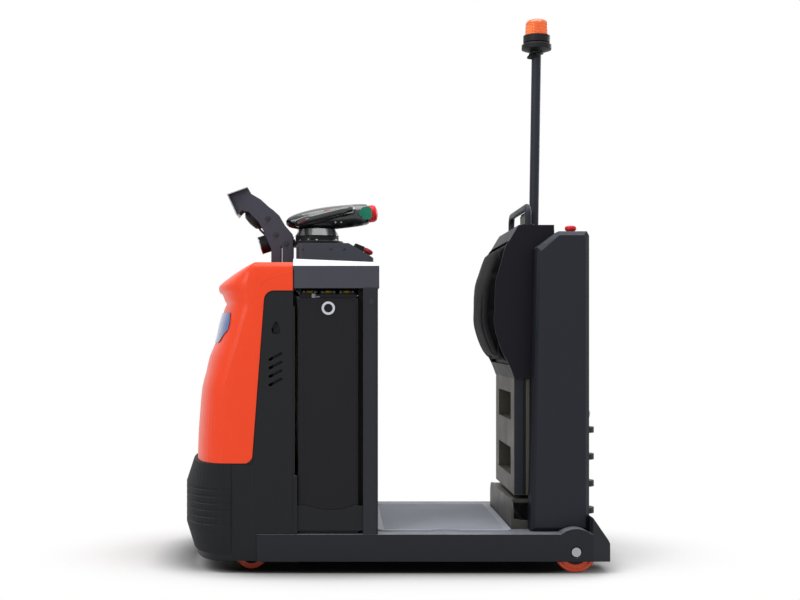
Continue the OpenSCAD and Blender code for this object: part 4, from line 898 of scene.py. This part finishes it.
class TRACTOR_OT_hood_fittings(bpy.types.Operator):
    """Seals and trims of the hood and the side panels, and dark sheets as painted shade behind the
    louvres
    """

    bl_idname = "tractor.hood_fittings"
    bl_label = "Hood fittings"

    def execute(self, context):
        thick = sizes().gasket / MM / 2
        flank, seam_x, seam_z, corner_x, corner_z = 395, -467, 351, -398, 876
        seals, shade_sheets, corners, creases, guides = (Fitting() for _ in range(5))
        for side in SIDES:
            path = [(seam_x + 39 * k / 10, side * flank, seam_z + 52.5 * k) for k in range(11)]
            path += [(corner_x - 30 * math.cos(math.pi / 2 * k / 8), side * flank,
                      corner_z + 30.4 * math.sin(math.pi / 2 * k / 8)) for k in range(1, 9)]
            seals.put(tube(path + [(-337, side * flank, 906.4)], thick, 8))
            rim = [(394.6, 906), (394.6, 968), (392.4, 985), (383.4, 995), (368, 1000.2)]
            seals.put(tube([(-334.4, side * y, z) for y, z in rim], thick * 1.4, 8))
            creases.put(tube(smooth_path([(-437, side * 393.8, 922), (-435, side * 394, 932),
                                          (-410, side * 393.9, 948), (-378, side * 393.2, 960),
                                          (-340, side * 392.8, 966)], 5), 2.2, 10))
            arc = [(-498 + 33 * math.cos(t), 384 + 33 * math.sin(t))
                   for t in (-math.pi / 2 * k / 8 for k in range(9))]
            corners.put(slab([(-466.5, 351.4)] + arc[::-1], side * flank, side * (flank + 1.2)))
            # Near-black sheets behind the louvres: painted shade for the inside of the bay
            shade_sheets.put(slab(sheet((-402, -348), (556, 852), 12), side * 377, side * 380))
            guides.put(slab(sheet((-335, -331.5), (222, 858), 1.5), side * 380, side * 387))
        seals.put(tube(nose_line(136, flank, seam_z, seam_x), thick, 8))
        seals.piece("hood_seals", "chassis", "hood", "Gasket_rubber", sharp=60)
        creases.piece("hood_crease", "chassis", "hood", "Gloss_hood_paint", sharp=60)
        corners.piece("hood_corner_caps", "chassis", "front_skirt", "Panel_powder_coat", 0.4 * MM)
        shade_sheets.piece("louvre_shade_sheets", "chassis", "drive_frame", "Inner_powder_coat", 0.8 * MM)
        guides.piece("bay_edge_guides", "chassis", "drive_frame", "Kick_plate_coat", 0.5 * MM)
        return {"FINISHED"}


class TRACTOR_OT_battery(bpy.types.Operator):
    """Cells, links and sheets of the battery"""

    bl_idname = "tractor.battery"
    bl_label = "Battery"

    def execute(self, context):
        low, high = span("battery_case")
        width = sizes().cell / MM
        rows = int((high.y - low.y - 16) / width)
        columns, post_y, lid_top, cap_top = 3, 19, 15, 17.5
        depth = (high.x - low.x - 10) / columns
        lids, vents, links = Fitting(), Fitting(), Fitting()
        vent = lathe([(7, 0), (13, 0), (13.5, 2), (12, 7.5), (8, 9.2)], 20)
        post = lathe([(6, 0), (9, 0), (9, 3), (6.5, 4), (6.5, 7.5), (5, 8.5)], 16)
        for i in range(columns):
            for k in range(rows):
                place = Matrix.Translation((low.x + 5 + depth * (i + 0.5),
                                            (k - (rows - 1) / 2) * width, high.z))
                outline = rounded(depth - 2, width - 2, 5)
                lids.put(prism(outline, 0.3, lid_top), place)
                inner = [(x * 0.9, y * 0.9) for x, y in outline]
                lids.put(prism(inner, lid_top, cap_top), place)
                up = place @ Matrix.Translation((0, 0, cap_top))
                vents.put(vent, up)
                for side in SIDES:
                    links.put(post, up @ Matrix.Translation((side * post_y, 0, 0)))
                if k < rows - 1:
                    bar = rounded(12, width, 4)
                    side = 1 if k % 2 else -1
                    links.put(prism(bar, 3.2, 6.2),
                              up @ Matrix.Translation((side * post_y, width / 2, 0)))
        vents.piece("cell_vents", "chassis", "battery_case", "Moulded_vent_yellow")
        links.piece("cell_links", "chassis", "battery_case", "Cast_lead", 0.5 * MM)
        sheets, seals, clamps = Fitting(), Fitting(), Fitting()
        for side in SIDES:
            sheets.put(slab(sheet((low.x + 3, high.x - 5), (low.z + 6, high.z - 4), 26),
                            side * (high.y + 0.2), side * (high.y + 1.6)))
            seals.put(slab([(high.x + 0.6, low.z + 1), (high.x + 15.2, low.z + 1),
                            (high.x + 15.2, 913), (high.x + 0.6, 913)], side * 356, side * 361))
            clamps.put(lathe([(5, 0), (8, 0), (8.5, 4), (8.5, 13), (6, 16)], 24),
                       Matrix.Translation((-270, side * 378, high.z + 1)))
            clamps.put(prism(rounded(24, 9, 3), 2, 6),
                       Matrix.Translation((-261, side * 378, high.z + 1)))
            lids.put(slab(sheet((low.x + 3, high.x - 3), (high.z + 0.3, high.z + 13), 2),
                          side * (high.y - 14), side * (high.y - 11)))
        lids.piece("cell_lids", "chassis", "battery_case", "Grained_black_ABS", 0.8 * MM)
        sheets.piece("battery_side_sheets", "chassis", "battery_case",
                     "Battery_tray_paint", 0.5 * MM)
        seals.piece("battery_edge_seals", "chassis", "console_posts", "Gasket_rubber")
        clamps.piece("terminal_clamps", "chassis", "battery_case", "Cast_lead", 0.5 * MM)
        return {"FINISHED"}


class TRACTOR_OT_console(bpy.types.Operator):
    """Display glass, rockers and screws of the console"""

    bl_idname = "tractor.console"
    bl_label = "Console fittings"

    def execute(self, context):
        display_share, rocker_share, display_tilt = 0.38, 0.74, math.radians(-8)
        pocket = (dash_frame(display_share) @ Matrix.Translation((-2.1, 0, 23.5))
                  @ Matrix.Rotation(display_tilt, 4, "Y"))
        glass = Fitting().put(prism(rounded(26, 98, 3), -1.5, -0.5), pocket)
        glass.piece("display_glass", "chassis", "display_unit", "Display_glass", 0.2 * MM)
        marks = Fitting()

        def mark(width, height, radius, x, y):
            marks.put(prism(rounded(width, height, radius), -0.45, -0.3),
                      pocket @ Matrix.Translation((x, y, 0)))

        for digit in (k * 11 - 26 for k in range(4)):
            for x in (-6, 0, 6):
                mark(1, 6, 0.4, x, digit)
            for x, y in ((-3, -3.6), (-3, 3.6), (3, 3.6)):
                mark(4.6, 1, 0.4, x, digit + y)
        for k in range(6):
            mark(4, 3, 0.5, 6, 20 + k * 4.4)
        marks.piece("display_segments", "chassis", "display_unit", "Display_segment")
        rockers, bezels = Fitting(), Fitting()
        for y in (-50, 0, 50):
            at = dash_frame(rocker_share) @ Matrix.Translation((0, y, 0))
            outer, inner = rounded(19, 30, 3.5), rounded(14, 25, 2)
            bezels.put(prism(outer, 0.2, 2.2), at)
            saddle = [(x, yy, 2.3 + 2.6 * abs(yy) / 12.5 + 1.2) for x, yy in inner]
            base = [(x, yy, 1) for x, yy in inner]
            faces = bands(2, len(inner))
            del faces[-2]
            rockers.put((base + saddle, faces), at)
        bezels.piece("rocker_bezels", "chassis", "dash_panel", "Grained_black_ABS", 0.4 * MM)
        rockers.piece("rocker_switches", "chassis", "dash_panel", "Nylon_wheel_centre", 0.5 * MM)
        screws = Fitting()
        high = span("dash_panel")[1]
        for x in (-310, -215, -170):
            for side in SIDES:
                screws.screw(4.5, "dash_panel", (x, side * 300, high.z - 20), (0, -side, 0))
        for side in SIDES:
            for x in (-300, -100):
                screws.screw(5, "console_cover", (x, side * 300, 1200), (0, 0, -1))
        screws.piece("console_screws", "chassis", "dash_panel", "Blackened_steel")
        low, high = span("steering_base")
        caps = Fitting()
        axis_x, cap_circle, foot_drop = -264.5, 83.5, 17.3
        for turn in (108, 252, 324):
            t = math.radians(turn)
            at = (axis_x + cap_circle * math.cos(t), cap_circle * math.sin(t), high.z - foot_drop)
            caps.put(lathe([(4.5, 0), (5.5, 0), (5.6, 4), (4.4, 6.4), (2, 7.6)], 18),
                     Matrix.Translation(at))
        caps.piece("base_nut_caps", "chassis", "steering_base", "Moulded_white_nylon")
        studs = Fitting()
        for side in SIDES:
            for turn in (40, 90, 140):
                t = math.radians(turn)
                out = Vector((math.cos(t), side * math.sin(t), 0))
                start = Vector((axis_x, 0, (low.z + high.z) / 2)) + out * 150
                studs.screw(4.5, "steering_base", start, -out)
        studs.piece("base_screws", "chassis", "steering_base", "Zinc_plated_steel")
        return {"FINISHED"}


class TRACTOR_OT_head(bpy.types.Operator):
    """Horn buttons and screws of the steering head"""

    bl_idname = "tractor.head_fittings"
    bl_label = "Steering head fittings"

    def execute(self, context):
        rims, horns, screws = Fitting(), Fitting(), Fitting()
        dome = lathe([(6, 0), (10, 0), (10, 2), (8.4, 3.6), (4, 4.6)], 28)
        for side in SIDES:
            place, normal = touch("steering_head", (-224, side * 36, 1300), (0, 0, -1))
            flat, sunk, lengthwise = Matrix.Diagonal((1.5, 0.72, 1, 1)), 0.6, 0.7
            along = facing(place, normal).to_3x3() @ Vector((1, 0, 0))
            roll = 0 if abs(along.x) > lengthwise else math.pi / 2
            at = facing(place - normal * sunk, normal, roll) @ flat
            rims.put(ring([(10, 0), (12.5, 0), (12.5, 1.8), (11.4, 2.4), (10, 1.6)]), at)
            horns.put(dome, at)
            for x in (-200, -180):
                screws.screw(4, "steering_head", (x, side * 200, 1158), (0, -side, 0))
        rims.piece("horn_rims", "head", "steering_head", "Grained_black_ABS")
        horns.piece("horn_buttons", "head", "steering_head", "Moulded_red_PA")
        screws.piece("head_screws", "head", "steering_head", "Zinc_plated_steel")
        return {"FINISHED"}


class TRACTOR_OT_guard(bpy.types.Operator):
    """Edging, lamp rims and cables of the front guard"""

    bl_idname = "tractor.guard_fittings"
    bl_label = "Guard fittings"

    def execute(self, context):
        crest, front = Vector((-503.3, 1274)), Vector((-571.3, 1249.9))
        tip, half = Vector((-541.2, 1184.1)), 83
        lip = [crest, front, tip, tip + Vector((-3.4, -1.6)), front + Vector((-4.8, 2)),
               crest + Vector((-1.2, 3.5))]
        edging = Fitting().put(slab(lip, -half, half))
        edging.piece("visor_edging", "chassis", "guard_visor", "Galvanised_sheet", 0.8 * MM)
        lamp = (Matrix.Translation((-424.2, 0, 1092.1))
                @ Matrix.Rotation(math.radians(-108), 4, "Y"))
        rim = Fitting().put(ring([(27, 40), (31.6, 40), (32.2, 41.5), (31.2, 43.6), (28, 43)]),
                            lamp)
        rim.piece("headlamp_rim", "chassis", "headlamp_body", "Zinc_plated_steel")
        cup = Fitting().put(ring([(26, 31.4), (10, 31.4), (10, 31.8), (26, 31.8)]), lamp)
        cup.piece("headlamp_reflector", "chassis", "headlamp_body", "Aluminised_reflector")
        cables, clips = Fitting(), Fitting()
        cable_d = 6
        for side in SIDES:
            path = smooth_path([(-470, side * 46, 1140), (-448, side * 48, 1118),
                                (-432, side * 49, 1100), (-416, side * 49, 1064),
                                (-410, side * 49, 1030), (-408, side * 48, 1001)], 6)
            cables.put(tube(path, cable_d / 2, 10))
            for k in (14, 24):
                clips.put(ring([(3.1, -3), (4.6, -3), (4.6, 3), (3.1, 3)], 18),
                          facing(path[k], path[k + 1] - path[k]))
        cables.piece("lamp_cables", "chassis", "guard_arms", "Gasket_rubber", sharp=60)
        clips.piece("cable_clips", "chassis", "guard_arms", "Nylon_wheel_centre")
        return {"FINISHED"}


class TRACTOR_OT_rear(bpy.types.Operator):
    """Plates, louvres, screws, wheel centres and lamp core of the tractor's rear"""

    bl_idname = "tractor.rear_fittings"
    bl_label = "Rear fittings"

    def execute(self, context):
        low, high = span("lower_panel")
        for name, x, coat in (("slate", (0.5, 29), "Slate_side_coat"),
                              ("seam", (29, 39), "Grained_black_ABS"),
                              # the beige strip is dark plastic painted beige as a painted highlight
                              ("painted_lit_beige", (39, 51), "Grained_ABS_painted_lit_beige"),
                              ("rear", (51, 62), "Grained_black_ABS")):
            plates = Fitting()
            for side in SIDES:
                outline = sheet((low.x + x[0], low.x + x[1]), (low.z + 2, high.z - 2), 2)
                plates.put(slab(outline, side * (high.y + 0.1), side * (high.y + 1.5)))
            plates.piece("lower_panel_" + name, "chassis", "lower_panel", coat, 0.4 * MM)
        low = span("grab_bar")[0]
        # Plate inside the grab bar: dark plastic painted beige as a painted highlight
        plate = Fitting().put(slab(sheet((460.5, 463.4), (low.z + 3, low.z + 56), 1), -66, 66))
        plate.piece("grab_bar_plate", "chassis", "grab_bar", "Grained_ABS_painted_lit_beige", 0.4 * MM)
        screws, slats = Fitting(), Fitting()
        low, high = span("column_rear_panel")
        count, margin, screw_y = 6, 36, 256
        for side in SIDES:
            for k in range(count):
                z = low.z + margin + k * (high.z - low.z - 2 * margin) / (count - 1)
                screws.screw(sizes().screw / MM * 0.8, "column_rear_panel",
                             (900, side * screw_y, z), (-1, 0, 0))
        slat_count, slat_drop, slat_pitch = 9, 150, 15
        for k in range(slat_count):
            z = high.z - slat_drop - k * slat_pitch
            blade = [(high.x + 0.1, z - 5), (high.x + 5, z - 6), (high.x + 5.6, z - 4.6),
                     (high.x + 0.1, z + 5)]
            for side in SIDES:
                slats.put(slab(blade, side * 24, side * 150))
        screws.piece("rear_panel_screws", "chassis", "column_rear_panel", "Blackened_steel")
        slats.piece("rear_panel_louvres", "chassis", "column_rear_panel",
                    "Column_powder_coat", 0.6 * MM)
        hub = ring([(16, 0), (41, 0), (40, 0.7), (30, 0.9), (28, 0.5), (16, 0.5)])
        cap = lathe([(6, 0), (33.5, 0), (32.5, 0.7), (22, 1), (20, 0.6), (8, 0.8)], 36)
        rear_hub, caster_x, caster_y, caster_z, caster_half = (573, 386, 68), -475, 302, 52, 15.1
        for side, word in zip(SIDES, ("left", "right")):
            place = (rear_hub[0], side * rear_hub[1], rear_hub[2])
            rear = Fitting().put(hub, facing(place, (0, side, 0)))
            rear.piece(word + "_rear_wheel_centre", word + "_rear_roll", word + "_rear_wheel",
                       "Nylon_wheel_centre")
            front = Fitting()
            for way in SIDES:
                front.put(cap, facing((caster_x, side * caster_y + way * caster_half, caster_z),
                                      (0, way, 0)))
            front.piece(word + "_caster_centre", word + "_caster_roll", word + "_caster_wheel",
                        "Nylon_wheel_centre")
        low, high = span("beacon_lens")
        middle = (low.x + high.x) / 2
        core = Fitting().put(lathe([(8, 0), (15, 0), (15, 3), (11, 5), (11, 32), (7, 38)], 28),
                             Matrix.Translation((middle, 0, low.z + 2)))
        core.piece("beacon_lamp", "chassis", "beacon_lens", "Amber_lamp_glass")
        low, high = span("mast")
        gland = Fitting().put(ring([(12.5, 0), (23, 0), (23, 5), (19, 8), (16, 15), (12.5, 15)]),
                              Matrix.Translation((low.x + 24.7, 0, high.z - 15)))
        gland.piece("mast_gland", "chassis", "mast", "Gasket_rubber")
        return {"FINISHED"}


# Camera as read from the photograph: place in metres, lens in millimetres, shifts of the frame
CAMERA_PLACE, CAMERA_LENS, CAMERA_SHIFT = (-0.198, -4.42, 0.768), 56.44, (0.08, 0.0425)
# Lamps: name, place, target, size in metres, watts
LAMPS = (("overhead_lamp", (0.1, -0.5, 3.4), (0, 0, 0.6), (2.6, 1.8), 62),
         ("front_lamp", (-2.6, -3.2, 2.2), (-0.2, 0, 0.7), (1.6, 1.6), 34),
         ("rear_lamp", (2.8, 2.6, 2.4), (0.2, 0, 0.8), (1.8, 1.8), 34))


class TRACTOR_OT_stage(bpy.types.Operator):
    """Sets the floor, the lamps, the surroundings and the camera"""

    bl_idname = "tractor.stage"
    bl_label = "Studio"

    def execute(self, context):
        self.floor(context)
        self.lamps(context)
        self.surroundings(context)
        eye = bpy.data.cameras.new("photo_camera")
        eye.sensor_width = 36
        eye.lens = CAMERA_LENS
        eye.shift_x, eye.shift_y = CAMERA_SHIFT
        eye.clip_end = 100
        camera = bpy.data.objects.new("photo_camera", eye)
        camera.location = CAMERA_PLACE
        camera.rotation_euler = (math.radians(90), 0, 0)
        context.scene.collection.objects.link(camera)
        context.scene.camera = camera
        context.scene.view_settings.view_transform = "Standard"
        return {"FINISHED"}

    @staticmethod
    def floor(context):
        """A pale floor that runs out to the white of the backdrop, with a painted shadow near and
        under the tractor.
        """
        made, tree, place = blank("Painted_studio_floor")
        grit = speckle(tree, place, 9, 6)
        tone = blend(tree, grit, opaque("EFEFEF"), opaque("F8F8F8"))
        # Painted shadow: the floor colour goes to near black where the tractor is close above it
        near = add(tree, "AmbientOcclusion", {"Distance": 0.2}, samples=16).outputs["AO"]
        tone = blend(tree, ramp(tree, near, 0.34, 0.92), (0.004, 0.004, 0.004, 1), tone)
        bump = add(tree, "Bump", {"Height": grit, "Strength": 0.05, "Distance": MM})
        paint = add(tree, "BsdfPrincipled", {"Base Color": tone, "Roughness": 0.85,
                                             "Specular IOR Level": 0.2,
                                             "Normal": bump.outputs[0]})
        footprint = add(tree, "Mapping", {"Vector": place, "Scale": (0.72, 1.2, 1)}).outputs[0]
        far = add(tree, "VectorMath", {0: footprint}, operation="LENGTH").outputs[1]
        fade = add(tree, "MapRange", {0: far, 1: 0.55, 2: 0.95}, interpolation_type="SMOOTHSTEP")
        ray = add(tree, "LightPath")
        seen = add(tree, "Math", {0: ray.outputs["Is Camera Ray"], 1: ray.outputs["Is Glossy Ray"]},
                   operation="MAXIMUM")
        part = times(tree, fade.outputs[0], seen.outputs[0])
        white = add(tree, "Emission", {"Color": (1, 1, 1, 1), "Strength": 1.0})
        both = add(tree, "MixShader", {0: part, 1: paint.outputs[0], 2: white.outputs[0]})
        add(tree, "OutputMaterial", {"Surface": both.outputs[0]})
        mesh = bpy.data.meshes.new("studio_floor")
        reach = 40
        mesh.from_pydata([(-reach, -reach, 0), (reach, -reach, 0), (reach, reach, 0),
                          (-reach, reach, 0)], [], [(0, 1, 2, 3)])
        mesh.materials.append(made)
        obj = bpy.data.objects.new("studio_floor", mesh)
        context.scene.collection.objects.link(obj)

    @staticmethod
    def lamps(context):
        """One broad lamp overhead, one in front, one behind, all soft."""
        for name, place, target, size, power in LAMPS:
            light = bpy.data.lights.new(name, "AREA")
            light.shape = "RECTANGLE"
            light.size, light.size_y = size
            light.energy = power
            obj = bpy.data.objects.new(name, light)
            obj.location = place
            aim = Vector(target) - Vector(place)
            obj.rotation_euler = aim.to_track_quat("-Z", "Y").to_euler()
            context.scene.collection.objects.link(obj)

    @staticmethod
    def surroundings(context):
        """Even grey light all round, seen as plain white."""
        world = bpy.data.worlds.new("studio_surroundings")
        context.scene.world = world
        world.use_nodes = True
        tree = world.node_tree
        tree.nodes.clear()
        ray = add(tree, "LightPath")
        seen = add(tree, "Math", {0: ray.outputs["Is Camera Ray"],
                                  1: ray.outputs["Is Transmission Ray"]}, operation="MAXIMUM")
        any_ray = add(tree, "Math", {0: seen.outputs[0], 1: ray.outputs["Is Glossy Ray"]},
                      operation="MAXIMUM")
        level = ramp(tree, any_ray.outputs[0], 0, 1, 0.62, 1)
        light = add(tree, "Background", {"Color": (1, 1, 1, 1), "Strength": level})
        add(tree, "OutputWorld", {"Surface": light.outputs[0]})


STEPS = (TRACTOR_OT_finishes, TRACTOR_OT_cushion, TRACTOR_OT_hood_fittings, TRACTOR_OT_battery,
         TRACTOR_OT_console, TRACTOR_OT_head, TRACTOR_OT_guard, TRACTOR_OT_rear, TRACTOR_OT_stage)


class TRACTOR_PT_sidebar(bpy.types.Panel):
    """Lists the tractor's pieces, sizes and colours"""

    bl_idname = "TRACTOR_PT_sidebar"
    bl_label = "Tow tractor"
    bl_space_type = "VIEW_3D"
    bl_region_type = "UI"
    bl_category = "Tow tractor"

    def draw(self, context):
        for step in STEPS:
            self.layout.operator(step.bl_idname)
        for group in (sizes(), colours()):
            for name in group.__annotations__:
                self.layout.prop(group, name)


CLASSES = (TractorColours, TractorSizes) + STEPS + (TRACTOR_PT_sidebar,)


def register():
    """Registers the classes and the scene's own settings."""
    for one in CLASSES:
        bpy.utils.register_class(one)
    bpy.types.Scene.tractor_colours = bpy.props.PointerProperty(type=TractorColours)
    bpy.types.Scene.tractor_sizes = bpy.props.PointerProperty(type=TractorSizes)


def unregister():
    """Removes what register() added."""
    del bpy.types.Scene.tractor_sizes
    del bpy.types.Scene.tractor_colours
    for one in reversed(CLASSES):
        bpy.utils.unregister_class(one)


def main():
    """Runs every step."""
    register()
    for step in STEPS:
        group, name = step.bl_idname.split(".")
        getattr(getattr(bpy.ops, group), name)()


if __name__ == "__main__":
    main()
